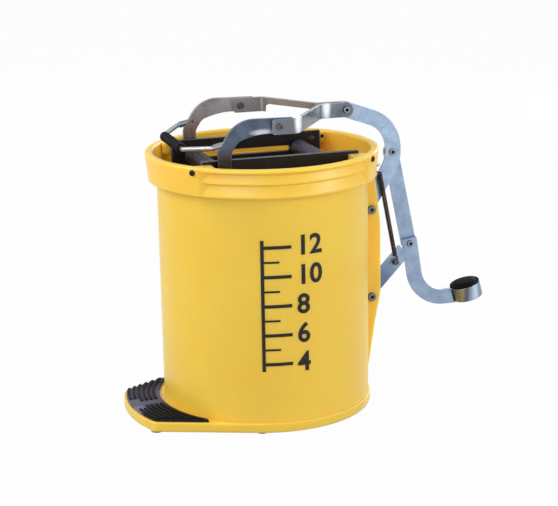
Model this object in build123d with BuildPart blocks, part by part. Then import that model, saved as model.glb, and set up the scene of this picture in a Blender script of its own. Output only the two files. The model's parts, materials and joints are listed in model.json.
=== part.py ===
from build123d import *
import os
from math import acos, cos, degrees, dist, hypot, pi, radians, sin, sqrt

# Bucket moulding, radii from the bucket axis and heights from the floor
RIM_Z = 338.0
LIP_R = 149.0
LIP_UNDER_Z = 333.5
LIP_ROUND = 2.6
MOUTH_R = 139.0
RIDGE_R = 145.5
RECESS_R = 142.0
MID_RIDGE_Z = 319.0
BAND_Z = 302.0
BODY_TOP_R = 134.9
BODY_FOOT_R = 134.2
BODY_INNER_TOP_R = 131.2
BODY_INNER_FOOT_R = 130.6
FLOOR_Z = 16.0
FLOOR_UNDER_Z = 10.5
FLOOR_ROUND = 8.0
PAD_HALF_ANGLE = 42.0
PAD_RAMP_ANGLE = 47.0
PAD_R = 145.7
PAD_TOP_R = 149.0
PAD_ROOT_R = 141.0

# Base ring and foot rest
BASE_R = 136.3
FOOT_R = 187.5
FOOT_TANGENT_ANGLE = 116.0
FOOT_TURN = 4.0
FOOT_CORNER_ROUND = 14.0
SLAB_UNDER_Z = 1.0
SLAB_TOP_Z = 13.9
SLAB_UNDER_ROUND = 3.0
SLAB_TOP_ROUND = 0.8
SKIRT_T = 3.5
RIB_T = 3.0
RIB_COUNT = 10
HUB_R = 55.0
FOOT_POINTS = [(-173.5, 47.5), (-165.5, -71.5), (-42, 120), (-42, -120), (104, 73), (104, -73)]
FOOT_PAD_R = 6.0
FOOT_STEM_R = 3.0
FOOT_STEM_H = 5.5
FOOT_BOSS_R = 7.0

# Rubber tread on the foot rest
TREAD_INSET = 3.4
TREAD_INNER_R = 141.5
TREAD_END_X = 112.5
TREAD_T = 2.8
TREAD_RIB_H = 2.2
TREAD_RIB_W = 3.4
TREAD_RIB_PITCH = 6.4
TREAD_RIB_FIRST_R = 149.4
TREAD_RIB_COUNT = 6
TREAD_CHANNEL_W = 20.0
TREAD_PATCH = (16.0, 42.0)

# Mechanism flanges on the right of the bucket
FLANGE_INNER_Y = 13.0
FLANGE_OUTER_Y = 18.0
FLANGE_ROOT_X = 131.6
FLANGE_X = 154.0
CHANNEL_X = 130.4
CHANNEL_BACK_X = 126.6
CHANNEL_Z = (100.0, 297.0)

# Pivot points, x from the bucket axis and z
PEDAL_PIVOT = (141.5, 130.5)
CRANK_PIVOT = (141.5, 248.0)
YOKE_POINT = (112.5, 379.5)
UPPER_LINK_POINT = (177.0, 319.0)
LOWER_LINK_POINT = (202.0, 193.5)
CRANK_SHOULDER = (178.2, 355.5)
CRANK_KNEE = (178.2, 306.0)
CRANK_SHOULDER_R = 45.0
CRANK_KNEE_R = 50.0

# Fits: a seated pin, a running pin and the gap between moving sheets
SEAT_GAP = 0.02
RUN_GAP = 0.06
SIDE_GAP = 0.4

# Flat steel strips and their pins
STRIP_W = 19.0
CRANK_W = 20.5
LINK_W = 20.0
LEVER_W = 20.0
CRANK_HALF_T = 2.5
LINK_T = 4.0
PIVOT_R = 4.0
LINK_PIN_R = 3.0
YOKE_PIN_R = 3.2
LINK_PLAY = 1.7
PIN_HEAD_R = 5.6
PIN_HEAD_T = 3.0
PIN_DIMPLE_R = 2.4
PIN_DIMPLE_T = 1.4
RIVET_HEAD_R = 4.6
RIVET_DIMPLE_R = 1.9
RIVET_HEAD_T = 2.0
RIVET_TAIL_R = 6.8
SPACER_R = 7.0

# Pedal lever, cup and pad
LEVER_TOP = (201.0, 200.5)
LEVER_ELBOW = (213.5, 116.0)
LEVER_END = (276.0, 115.5)
LEVER_ELBOW_R = 42.0
LEVER_LEG_END = (194.0, 185.2)
CUP_CENTRE = (286.4, 111.5)
CUP_TILT = 15.0
CUP_R = 20.3
CUP_H = 19.5
CUP_WALL = 2.5
TOE_PAD_R = 20.3
TOE_PAD_EDGE_H = 2.0
TOE_PAD_CROWN_H = 5.0

# Wringer plates and rollers
AXLE_Z = 319.5
FIXED_AXLE_X = 72.0
MOVING_AXLE_X = -73.0
AXLE_R = 3.0
PLATE_INNER_Y = 73.5
PLATE_T = 5.0
PLATE_X = (-100.0, 103.0)
PLATE_Z = (277.0, 340.6)
PLATE_ROUND = 1.5
SLOT_HALF_H = 3.3
SLOT_X = (-73.0, 57.0)
LUG_X = (89.0, 111.0)
LUG_Z = (323.0, 336.5)
SCREW_ANGLE = 39.0
SCREW_Z = 331.2
SCREW_R = 1.5
SCREW_END_R = 118.0
SCREW_HEAD_R = 3.7
SCREW_HEAD_T = 2.4
ROLLER_R = 11.0
ROLLER_HALF_L = 71.0
ROLLER_GROOVES = 30
ROLLER_GROOVE_DEPTH = 1.3
CLIP_R = 5.5
CLIP_T = 1.5

# Pull frame: two arms, two yoke legs and the grip
ARM_INNER_Y = 84.0
ARM_T = 4.0
ARM_Z = 379.5
ARM_FOOT_Z = 308.5
ARM_X = (-81.3, -64.3)
ARM_OUTER_KNEE = (-81.3, 353.0)
ARM_OUTER_SHOULDER = (-57.5, 391.2)
ARM_OUTER_END = (14.0, 389.6)
ARM_INNER_KNEE = (-64.3, 350.3)
ARM_INNER_BEND = (-55.5, 363.8)
ARM_INNER_SHOULDER = (-30.0, 372.2)
ARM_INNER_END = (14.0, 370.6)
ARM_OUTER_ROUNDS = (18.0, 40.0)
ARM_INNER_ROUNDS = (14.0, 14.0, 100.0)
ARM_SLOT_R = 4.3
ARM_SLOT_SHIFT = -0.8
ARM_SLOT_Z = (309.5, 320.0)
YOKE_TAB_X = -13.0
FRONT_BEND_X = 20.0
REAR_BEND_X = 26.0
YOKE_NOSE_X = 77.0
YOKE_BEND_R = 8.0
YOKE_WAIST_H = 8.5
YOKE_BOLT_X = -4.0
BOLT_R = 2.5
BOLT_HEAD_R = 4.2
BOLT_HEAD_T = 2.6
BOLT_SOCKET_R = 2.4
BOLT_NUT_R = 4.8
BOLT_NUT_T = 3.0
GRIP_POINT = (-116.0, 352.5)
GRIP_R = 6.5
GRIP_HALF_L = 44.0
GRIP_RIBS = 16
GRIP_RIB_DEPTH = 0.8
BAIL_R = 3.0
BAIL_CORNER_Y = 51.0
BAIL_CORNER_R = 6.0
BAIL_KNEE = 28.0
BAIL_END = 44.5
TONGUE_POINT = (-68.5, 361.8)
TONGUE_W = 8.0
TONGUE_T = 2.0
TONGUE_L = 18.0
GRIP_RIVET_R = 1.6
GRIP_RIVET_PROUD = 0.3

# Return spring, its screw eye and its stud
HOOK_Y = -5.45
EYE_RING_POINT = (151.5, 303.5)
EYE_RING_R = 3.6
EYE_WIRE_R = 1.2
EYE_SHANK_R = 1.6
EYE_SHANK_X = 140.0
STUD_POINT = (180.0, 171.0)
STUD_R = 2.0
SPRING_TURNS = 34
SPRING_PITCH = 3.4
SPRING_R = 2.3
SPRING_WIRE_R = 0.9
HOOK_R = 3.3
HOOK_TIP = 1.5

# The origin stands midway between the foot rest and the pedal
PEDAL_REACH_X = CUP_CENTRE[0] + CUP_R * cos(radians(CUP_TILT))
BUCKET_X = -(PEDAL_REACH_X - FOOT_R) / 2
BUCKET_AXIS = Axis((BUCKET_X, 0, 0), (0, 0, 1))
PLATE_OUTER_Y = PLATE_INNER_Y + PLATE_T
SCREW_ANGLES = (SCREW_ANGLE, -SCREW_ANGLE, 180 - SCREW_ANGLE, 180 + SCREW_ANGLE)
EYE_PLANE = Plane(origin=(BUCKET_X + EYE_SHANK_X, HOOK_Y, EYE_RING_POINT[1]), z_dir=(1, 0, 0))


def upright(y):
    """Upright plane at depth y: x from the bucket axis, z up, extruded towards the front."""
    return Plane(origin=(BUCKET_X, y, 0), x_dir=(1, 0, 0), z_dir=(0, -1, 0))


def level(z):
    """Level plane at height z, centred on the bucket axis."""
    return Plane(origin=(BUCKET_X, 0, z))


def meridian(angle):
    """Half plane through the bucket axis: radius outwards and z up."""
    turn = radians(angle)
    return Plane(
        origin=(BUCKET_X, 0, 0),
        x_dir=(cos(turn), sin(turn), 0),
        z_dir=(sin(turn), -cos(turn), 0),
    )


def facing(angle, radius, z):
    """Plane that looks out from the bucket axis at a radius and a height."""
    turn = radians(angle)
    return Plane(
        origin=(BUCKET_X + radius * cos(turn), radius * sin(turn), z),
        x_dir=(-sin(turn), cos(turn), 0),
        z_dir=(cos(turn), sin(turn), 0),
    )


def foot_outline(inset):
    """Plan of base ring and foot rest, drawn in by an inset."""
    base = BASE_R - inset
    outer = FOOT_R - inset
    corner = FOOT_TANGENT_ANGLE + degrees(acos(base / outer))
    with BuildSketch() as outline:
        with BuildLine():
            ring = CenterArc((0, 0), base, FOOT_TURN - FOOT_TANGENT_ANGLE, 2 * FOOT_TANGENT_ANGLE)
            toe = CenterArc((0, 0), outer, FOOT_TURN + corner, 360 - 2 * corner)
            Line(ring @ 1, toe @ 0)
            Line(toe @ 1, ring @ 0)
        make_face()
        corners = outline.vertices().sort_by(Axis.X)[:2]
        fillet(corners, radius=FOOT_CORNER_ROUND - inset)
    return outline.sketch


def pad_outline(foot_r, top_r):
    """Section of a plain stretch of the rim band, from its foot to under the lip."""
    with BuildSketch() as section:
        with BuildLine():
            Polyline(
                (PAD_ROOT_R, BAND_Z + 0.2),
                (foot_r, BAND_Z + 0.2),
                (top_r, LIP_UNDER_Z + 0.5),
                (PAD_ROOT_R, LIP_UNDER_Z + 0.5),
                close=True,
            )
        make_face()
    return section.sketch


def cross_pin(point, shaft_r, span, heads, dimple_r):
    """Pin along y with a round head at each end.

    span is the front and rear end of the shaft, heads the radius and depth of the front and
    the rear head, dimple_r the radius of a hollow in both ends, or 0.
    """
    front_y, rear_y = span
    with BuildPart() as pin:
        with BuildSketch(upright(rear_y)):
            with Locations(point):
                Circle(shaft_r)
        extrude(amount=rear_y - front_y)
        for start_y, head in ((front_y, heads[0]), (rear_y + heads[1][1], heads[1])):
            with BuildSketch(upright(start_y)):
                with Locations(point):
                    Circle(head[0])
            extrude(amount=head[1])
        chamfer(pin.edges().filter_by(GeomType.CIRCLE).group_by(Axis.Y)[0], length=0.6)
        chamfer(pin.edges().filter_by(GeomType.CIRCLE).group_by(Axis.Y)[-1], length=0.6)
        if dimple_r:
            for start_y in (front_y - heads[0][1] + PIN_DIMPLE_T, rear_y + heads[1][1]):
                with BuildSketch(upright(start_y)):
                    with Locations(point):
                        Circle(dimple_r)
                extrude(amount=PIN_DIMPLE_T, mode=Mode.SUBTRACT)
    return pin


def ring_pair(point, inner_r, outer_r, near_y, far_y):
    """Two matching rings along y, one on each side of the middle plane."""
    with BuildPart() as rings:
        for rear_y in (far_y, -near_y):
            with BuildSketch(upright(rear_y)):
                with Locations(point):
                    Circle(outer_r)
                    Circle(inner_r, mode=Mode.SUBTRACT)
            extrude(amount=far_y - near_y)
    return rings


def save(piece, name):
    """Label a finished piece and write it out."""
    piece.part.label = name
    export_step(piece.part, f"parts/{name}.step")


os.makedirs("parts", exist_ok=True)

# Bucket
with BuildPart() as bucket:
    with BuildSketch(level(SLAB_UNDER_Z)):
        add(foot_outline(0))
    extrude(amount=SLAB_TOP_Z - SLAB_UNDER_Z)
    fillet(bucket.edges().group_by(Axis.Z)[0], radius=SLAB_UNDER_ROUND)
    fillet(bucket.edges().group_by(Axis.Z)[-1], radius=SLAB_TOP_ROUND)
    with BuildSketch(meridian(0)) as wall:
        with BuildLine():
            Polyline(
                (0, FLOOR_UNDER_Z),
                (BODY_FOOT_R, FLOOR_UNDER_Z),
                (BODY_TOP_R, BAND_Z - 1),
                (RIDGE_R - 0.6, BAND_Z),
                (RIDGE_R - 0.4, BAND_Z + 2.5),
                (RECESS_R, MID_RIDGE_Z - 1.5),
                (RIDGE_R, MID_RIDGE_Z),
                (RIDGE_R, MID_RIDGE_Z + 2.5),
                (RECESS_R, LIP_UNDER_Z - 1.5),
                (LIP_R, LIP_UNDER_Z),
                (LIP_R, RIM_Z),
                (MOUTH_R, RIM_Z),
                (MOUTH_R, BAND_Z + 4),
                (BODY_INNER_TOP_R, BAND_Z - 2),
                (BODY_INNER_FOOT_R, FLOOR_Z),
                (0, FLOOR_Z),
                close=True,
            )
        make_face()
        fillet(wall.vertices().group_by(Axis.Y)[-1], radius=LIP_ROUND)
        floor_corner = wall.vertices().sort_by_distance((BODY_INNER_FOOT_R, FLOOR_Z))[0]
        fillet(floor_corner, radius=FLOOR_ROUND)
    revolve(axis=BUCKET_AXIS)
    # Plain stretches of the band, left and right, with ramps where the grooves run out
    for middle in (0, 180):
        with BuildSketch(meridian(middle - PAD_HALF_ANGLE)):
            add(pad_outline(PAD_R, PAD_TOP_R))
        revolve(axis=BUCKET_AXIS, revolution_arc=2 * PAD_HALF_ANGLE)
        for end in (-1, 1):
            with BuildSketch(meridian(middle + end * PAD_HALF_ANGLE)):
                add(pad_outline(PAD_R, PAD_TOP_R))
            with BuildSketch(meridian(middle + end * PAD_RAMP_ANGLE)):
                add(pad_outline(RECESS_R, RECESS_R))
            loft(ruled=True)
    # Hollow underside with a hub ring, radial ribs and a boss over each foot
    with BuildSketch(level(SLAB_UNDER_Z)):
        add(foot_outline(SKIRT_T))
    extrude(amount=FLOOR_UNDER_Z - SLAB_UNDER_Z, mode=Mode.SUBTRACT)
    with BuildSketch(level(SLAB_UNDER_Z + 1)):
        with PolarLocations(0, RIB_COUNT):
            Rectangle(FOOT_R + 10, RIB_T, align=(Align.MIN, Align.CENTER))
        Circle(HUB_R)
        Circle(HUB_R - RIB_T, mode=Mode.SUBTRACT)
        add(foot_outline(SKIRT_T - 0.5), mode=Mode.INTERSECT)
    extrude(amount=FLOOR_UNDER_Z - SLAB_UNDER_Z - 0.5)
    with BuildSketch(level(SLAB_UNDER_Z)):
        with Locations(*FOOT_POINTS):
            Circle(FOOT_BOSS_R)
    extrude(amount=FLOOR_UNDER_Z - SLAB_UNDER_Z + 0.5)
    with BuildSketch(level(SLAB_UNDER_Z)):
        with Locations(*FOOT_POINTS):
            Circle(FOOT_STEM_R + SEAT_GAP)
    extrude(amount=FOOT_STEM_H + 0.2, mode=Mode.SUBTRACT)
    # Flanges with a flat channel between them
    with BuildSketch(level(CHANNEL_Z[0] - 4)):
        with Locations(((CHANNEL_BACK_X + FLANGE_ROOT_X + 2) / 2, 0)):
            Rectangle(FLANGE_ROOT_X + 2 - CHANNEL_BACK_X, 2 * (FLANGE_OUTER_Y - 1))
    extrude(amount=CHANNEL_Z[1] - CHANNEL_Z[0] + 7)
    for rear_face in (FLANGE_OUTER_Y, -FLANGE_INNER_Y):
        with BuildSketch(upright(rear_face)):
            with BuildLine():
                FilletPolyline(
                    (FLANGE_ROOT_X, BAND_Z + 1),
                    (RIDGE_R - 0.5, BAND_Z + 1),
                    (RIDGE_R + 0.5, 293),
                    (FLANGE_X, 231),
                    (FLANGE_X, 136),
                    (145.3, 92),
                    (137.3, 41),
                    (FLANGE_ROOT_X, 28),
                    close=True,
                    radius=(0, 0, 6, 30, 40, 40, 12, 0),
                )
            make_face()
        extrude(amount=FLANGE_OUTER_Y - FLANGE_INNER_Y)
    with BuildSketch(level(CHANNEL_Z[0])):
        with Locations(((CHANNEL_X + FLANGE_X + 6) / 2, 0)):
            Rectangle(FLANGE_X + 6 - CHANNEL_X, 2 * FLANGE_INNER_Y)
    extrude(amount=CHANNEL_Z[1] - CHANNEL_Z[0], mode=Mode.SUBTRACT)
    with BuildSketch(upright(FLANGE_OUTER_Y + 1)):
        with Locations(PEDAL_PIVOT, CRANK_PIVOT):
            Circle(PIVOT_R + SEAT_GAP)
    extrude(amount=2 * FLANGE_OUTER_Y + 2, mode=Mode.SUBTRACT)
    # Lugs inside the band that carry the wringer plates
    with BuildSketch(level(LUG_Z[0])):
        Circle(MOUTH_R + 1)
        Rectangle(2 * LUG_X[1], 2 * LIP_R, mode=Mode.INTERSECT)
        Rectangle(2 * LUG_X[0], 2 * LIP_R, mode=Mode.SUBTRACT)
        Rectangle(2 * LIP_R, 2 * (PLATE_OUTER_Y + SEAT_GAP), mode=Mode.SUBTRACT)
    extrude(amount=LUG_Z[1] - LUG_Z[0])
    # Screw holes through band and lugs, and the hole of the spring eye
    for angle in SCREW_ANGLES:
        with BuildSketch(facing(angle, SCREW_END_R, SCREW_Z)):
            Circle(SCREW_R + SEAT_GAP)
        extrude(amount=LIP_R - SCREW_END_R + 3, mode=Mode.SUBTRACT)
    with BuildSketch(EYE_PLANE.offset(-0.2)):
        Circle(EYE_SHANK_R + SEAT_GAP)
    extrude(amount=9, mode=Mode.SUBTRACT)
save(bucket, "bucket")

# Foot tread, its ribs split by a plain channel and a plain patch at the toe
with BuildPart() as foot_tread:
    with BuildSketch(level(SLAB_TOP_Z)):
        add(foot_outline(TREAD_INSET))
        Circle(TREAD_INNER_R, mode=Mode.SUBTRACT)
        with PolarLocations(TREAD_END_X, 1, start_angle=180 + FOOT_TURN):
            Rectangle(2 * FOOT_R, 2 * FOOT_R, align=(Align.MAX, Align.CENTER), mode=Mode.SUBTRACT)
    extrude(amount=TREAD_T)
    with BuildSketch(level(SLAB_TOP_Z + TREAD_T)):
        for row in reversed(range(TREAD_RIB_COUNT)):
            rib_r = TREAD_RIB_FIRST_R + row * TREAD_RIB_PITCH
            Circle(rib_r + TREAD_RIB_W / 2)
            Circle(rib_r - TREAD_RIB_W / 2, mode=Mode.SUBTRACT)
        add(foot_outline(TREAD_INSET + 1.2), mode=Mode.INTERSECT)
        with PolarLocations(FOOT_R, 1, start_angle=180 + FOOT_TURN):
            Rectangle(2 * (FOOT_R - TREAD_INNER_R), TREAD_CHANNEL_W, mode=Mode.SUBTRACT)
            Rectangle(2 * TREAD_PATCH[0], TREAD_PATCH[1], mode=Mode.SUBTRACT)
        with PolarLocations(TREAD_END_X + 1.2, 1, start_angle=180 + FOOT_TURN):
            Rectangle(2 * FOOT_R, 2 * FOOT_R, align=(Align.MAX, Align.CENTER), mode=Mode.SUBTRACT)
    extrude(amount=TREAD_RIB_H)
save(foot_tread, "foot_tread")

# Rubber feet
with BuildPart() as rubber_feet:
    with BuildSketch(level(0)):
        with Locations(*FOOT_POINTS):
            Circle(FOOT_PAD_R)
    extrude(amount=SLAB_UNDER_Z)
    chamfer(rubber_feet.edges().group_by(Axis.Z)[0], length=0.5)
    with BuildSketch(level(SLAB_UNDER_Z)):
        with Locations(*FOOT_POINTS):
            Circle(FOOT_STEM_R)
    extrude(amount=FOOT_STEM_H)
save(rubber_feet, "rubber_feet")


def side_plate(side):
    """Wringer plate with the roller slot; side is -1 in front and 1 at the rear."""
    rear_y = max(side * PLATE_INNER_Y, side * PLATE_OUTER_Y)
    with BuildPart() as plate:
        with BuildSketch(upright(rear_y)):
            with Locations(((PLATE_X[0] + PLATE_X[1]) / 2, (PLATE_Z[0] + PLATE_Z[1]) / 2)):
                RectangleRounded(PLATE_X[1] - PLATE_X[0], PLATE_Z[1] - PLATE_Z[0], PLATE_ROUND)
            with Locations(((SLOT_X[0] + SLOT_X[1]) / 2, AXLE_Z)):
                SlotCenterToCenter(SLOT_X[1] - SLOT_X[0], 2 * SLOT_HALF_H, mode=Mode.SUBTRACT)
            with Locations((FIXED_AXLE_X, AXLE_Z)):
                Circle(AXLE_R + SEAT_GAP, mode=Mode.SUBTRACT)
        extrude(amount=PLATE_T)
        for angle in SCREW_ANGLES:
            with BuildSketch(facing(angle, SCREW_END_R - 8, SCREW_Z)):
                Circle(SCREW_R + SEAT_GAP)
            extrude(amount=24, mode=Mode.SUBTRACT)
    return plate


front_side_plate = side_plate(-1)
save(front_side_plate, "front_side_plate")
rear_side_plate = side_plate(1)
save(rear_side_plate, "rear_side_plate")

# Screws through band and lugs into the plates
with BuildPart() as plate_screws:
    for angle in SCREW_ANGLES:
        with BuildSketch(facing(angle, SCREW_END_R, SCREW_Z)):
            Circle(SCREW_R)
        extrude(amount=PAD_TOP_R - SCREW_END_R + 0.5)
        with BuildSketch(facing(angle, PAD_TOP_R, SCREW_Z)):
            Circle(SCREW_HEAD_R)
        extrude(amount=SCREW_HEAD_T, taper=14)
save(plate_screws, "plate_screws")


def axle(x, half_length):
    """Plain roller axle along y."""
    with BuildPart() as rod:
        with BuildSketch(upright(half_length)):
            with Locations((x, AXLE_Z)):
                Circle(AXLE_R)
        extrude(amount=2 * half_length)
        chamfer(rod.edges().filter_by(GeomType.CIRCLE), length=0.6)
    return rod


def roller(x):
    """Ribbed wringer roller along y."""
    pitch = 2 * ROLLER_HALF_L / (ROLLER_GROOVES + 1)
    outline = [(AXLE_R + RUN_GAP, -ROLLER_HALF_L), (ROLLER_R, -ROLLER_HALF_L)]
    for row in range(1, ROLLER_GROOVES + 1):
        groove_y = -ROLLER_HALF_L + row * pitch
        outline.append((ROLLER_R, groove_y - ROLLER_GROOVE_DEPTH))
        outline.append((ROLLER_R - ROLLER_GROOVE_DEPTH, groove_y))
        outline.append((ROLLER_R, groove_y + ROLLER_GROOVE_DEPTH))
    outline.append((ROLLER_R, ROLLER_HALF_L))
    outline.append((AXLE_R + RUN_GAP, ROLLER_HALF_L))
    with BuildPart() as barrel:
        with BuildSketch(Plane(origin=(BUCKET_X + x, 0, AXLE_Z))):
            with BuildLine():
                Polyline(*outline, close=True)
            make_face()
        revolve(axis=Axis((BUCKET_X + x, 0, AXLE_Z), (0, 1, 0)))
    return barrel


ARM_OUTER_Y = ARM_INNER_Y + ARM_T
FIXED_AXLE_POINT = (FIXED_AXLE_X, AXLE_Z)
MOVING_AXLE_POINT = (MOVING_AXLE_X, AXLE_Z)

fixed_axle = axle(FIXED_AXLE_X, PLATE_OUTER_Y + CLIP_T + 2)
save(fixed_axle, "fixed_axle")
fixed_axle_clips = ring_pair(
    FIXED_AXLE_POINT,
    AXLE_R + SEAT_GAP,
    CLIP_R,
    PLATE_OUTER_Y,
    PLATE_OUTER_Y + CLIP_T,
)
save(fixed_axle_clips, "fixed_axle_clips")
fixed_roller = roller(FIXED_AXLE_X)
save(fixed_roller, "fixed_roller")

moving_axle = axle(MOVING_AXLE_X, ARM_OUTER_Y + SIDE_GAP + CLIP_T + 2)
save(moving_axle, "moving_axle")
moving_axle_clips = ring_pair(
    MOVING_AXLE_POINT,
    AXLE_R + SEAT_GAP,
    CLIP_R,
    ARM_OUTER_Y + SIDE_GAP,
    ARM_OUTER_Y + SIDE_GAP + CLIP_T,
)
save(moving_axle_clips, "moving_axle_clips")
moving_roller = roller(MOVING_AXLE_X)
save(moving_roller, "moving_roller")

# Pivot pins in the flanges, with spacer tubes beside the levers
PIVOT_SPAN = (-FLANGE_OUTER_Y, FLANGE_OUTER_Y)
PIVOT_HEADS = ((PIN_HEAD_R, PIN_HEAD_T), (PIN_HEAD_R, PIN_HEAD_T))
SPACER_NEAR_Y = CRANK_HALF_T + SIDE_GAP

crank_pivot_pin = cross_pin(CRANK_PIVOT, PIVOT_R, PIVOT_SPAN, PIVOT_HEADS, PIN_DIMPLE_R)
save(crank_pivot_pin, "crank_pivot_pin")
crank_spacers = ring_pair(CRANK_PIVOT, PIVOT_R + SEAT_GAP, SPACER_R, SPACER_NEAR_Y, FLANGE_INNER_Y)
save(crank_spacers, "crank_spacers")
pedal_pivot_pin = cross_pin(PEDAL_PIVOT, PIVOT_R, PIVOT_SPAN, PIVOT_HEADS, PIN_DIMPLE_R)
save(pedal_pivot_pin, "pedal_pivot_pin")
pedal_spacers = ring_pair(PEDAL_PIVOT, PIVOT_R + SEAT_GAP, SPACER_R, SPACER_NEAR_Y, FLANGE_INNER_Y)
save(pedal_spacers, "pedal_spacers")

# Crank: one bent strip from its pivot round the rim to the yoke
with BuildPart() as crank:
    with BuildSketch(upright(CRANK_HALF_T)):
        with BuildLine():
            FilletPolyline(
                YOKE_POINT,
                CRANK_SHOULDER,
                CRANK_KNEE,
                CRANK_PIVOT,
                radius=(CRANK_SHOULDER_R, CRANK_KNEE_R),
            )
        trace(line_width=CRANK_W)
        with Locations(YOKE_POINT, CRANK_PIVOT):
            Circle(CRANK_W / 2)
        with Locations(YOKE_POINT):
            Circle(YOKE_PIN_R + SEAT_GAP, mode=Mode.SUBTRACT)
        with Locations(CRANK_PIVOT):
            Circle(PIVOT_R + RUN_GAP, mode=Mode.SUBTRACT)
        with Locations(UPPER_LINK_POINT):
            Circle(LINK_PIN_R + SEAT_GAP, mode=Mode.SUBTRACT)
    extrude(amount=2 * CRANK_HALF_T)
save(crank, "crank")

LINK_NEAR_Y = CRANK_HALF_T + SIDE_GAP
LINK_FAR_Y = LINK_NEAR_Y + LINK_T
LINK_SPAN = (-CRANK_HALF_T, LINK_FAR_Y + SIDE_GAP)
yoke_reach = LINK_FAR_Y + SIDE_GAP
LINK_HEADS = ((RIVET_HEAD_R, RIVET_HEAD_T), (RIVET_TAIL_R, RIVET_HEAD_T))
upper_link_pin = cross_pin(UPPER_LINK_POINT, LINK_PIN_R, LINK_SPAN, LINK_HEADS, RIVET_DIMPLE_R)
save(upper_link_pin, "upper_link_pin")
yoke_pin = cross_pin(YOKE_POINT, YOKE_PIN_R, (-yoke_reach, yoke_reach), LINK_HEADS, RIVET_DIMPLE_R)
save(yoke_pin, "yoke_pin")

# Link between crank and pedal lever, with play at its lower end
with BuildPart() as link_strip:
    with BuildSketch(upright(LINK_FAR_Y)):
        with BuildLine():
            Line(UPPER_LINK_POINT, LOWER_LINK_POINT)
        trace(line_width=LINK_W)
        with Locations(UPPER_LINK_POINT, LOWER_LINK_POINT):
            Circle(LINK_W / 2)
        with Locations(UPPER_LINK_POINT):
            Circle(LINK_PIN_R + RUN_GAP, mode=Mode.SUBTRACT)
        with Locations(LOWER_LINK_POINT):
            Circle(LINK_PIN_R + LINK_PLAY, mode=Mode.SUBTRACT)
    extrude(amount=LINK_T)
save(link_strip, "link_strip")

# Pedal lever: a bent bar with a slanting leg back to the pivot
CUP_LEAN = radians(CUP_TILT)
CUP_PLANE = Plane(
    origin=(BUCKET_X + CUP_CENTRE[0], 0, CUP_CENTRE[1]),
    x_dir=(cos(CUP_LEAN), 0, sin(CUP_LEAN)),
    z_dir=(-sin(CUP_LEAN), 0, cos(CUP_LEAN)),
)
with BuildPart() as pedal_lever:
    with BuildSketch(upright(CRANK_HALF_T)):
        with BuildLine():
            FilletPolyline(LEVER_TOP, LEVER_ELBOW, LEVER_END, radius=LEVER_ELBOW_R)
        trace(line_width=LEVER_W)
        with BuildLine():
            Line(PEDAL_PIVOT, LEVER_LEG_END)
        trace(line_width=LEVER_W)
        with Locations(PEDAL_PIVOT):
            Circle(LEVER_W / 2)
            Circle(PIVOT_R + RUN_GAP, mode=Mode.SUBTRACT)
        with Locations(LOWER_LINK_POINT):
            Circle(LINK_PIN_R + SEAT_GAP, mode=Mode.SUBTRACT)
        with Locations(STUD_POINT):
            Circle(STUD_R + SEAT_GAP, mode=Mode.SUBTRACT)
    extrude(amount=2 * CRANK_HALF_T)
    with BuildSketch(CUP_PLANE.offset(-CUP_H)):
        Circle(CUP_R + SEAT_GAP)
    extrude(amount=3 * CUP_H, mode=Mode.SUBTRACT)
save(pedal_lever, "pedal_lever")

lower_link_pin = cross_pin(LOWER_LINK_POINT, LINK_PIN_R, LINK_SPAN, LINK_HEADS, RIVET_DIMPLE_R)
save(lower_link_pin, "lower_link_pin")

# Stud for the lower hook of the spring
spring_stud = cross_pin(
    STUD_POINT,
    STUD_R,
    (2 * HOOK_Y + CRANK_HALF_T, CRANK_HALF_T),
    ((STUD_R + 1.5, 1.5), (STUD_R + 1.5, 1.2)),
    0,
)
save(spring_stud, "spring_stud")

# Pedal cup and its rubber pad
with BuildPart() as pedal_cup:
    with BuildSketch(CUP_PLANE):
        Circle(CUP_R)
    extrude(amount=CUP_H)
    fillet(pedal_cup.faces().sort_by(Axis(CUP_PLANE.origin, CUP_PLANE.z_dir))[0].edges(), radius=1.5)
    with BuildSketch(CUP_PLANE.offset(CUP_WALL)):
        Circle(CUP_R - CUP_WALL)
    extrude(amount=CUP_H, mode=Mode.SUBTRACT)
save(pedal_cup, "pedal_cup")

PAD_PLANE = Plane(origin=CUP_PLANE.origin, x_dir=CUP_PLANE.x_dir, z_dir=-CUP_PLANE.y_dir)
with BuildPart() as pedal_pad:
    with BuildSketch(PAD_PLANE):
        with BuildLine():
            plug = Polyline(
                (0, CUP_H + TOE_PAD_CROWN_H),
                (0, CUP_WALL),
                (CUP_R - CUP_WALL - 0.1, CUP_WALL),
                (CUP_R - CUP_WALL - 0.1, CUP_H),
                (TOE_PAD_R, CUP_H),
                (TOE_PAD_R, CUP_H + TOE_PAD_EDGE_H),
            )
            TangentArc(plug @ 0, plug @ 1, tangent=(1, 0))
        make_face()
    revolve(axis=Axis(CUP_PLANE.origin, CUP_PLANE.z_dir))
save(pedal_pad, "pedal_pad")


# The grip bail lies in a plane that rises from the grip to the tongues in the arms
bail_rise = dist(TONGUE_POINT, GRIP_POINT)
bail_up = (
    (TONGUE_POINT[0] - GRIP_POINT[0]) / bail_rise,
    (TONGUE_POINT[1] - GRIP_POINT[1]) / bail_rise,
)
TONGUE_ROOT = (TONGUE_POINT[0] - bail_up[0] * TONGUE_L, TONGUE_POINT[1] - bail_up[1] * TONGUE_L)
BAIL_PLANE = Plane(
    origin=(BUCKET_X + GRIP_POINT[0], 0, GRIP_POINT[1]),
    x_dir=(0, 1, 0),
    z_dir=(bail_up[1], 0, -bail_up[0]),
)


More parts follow.
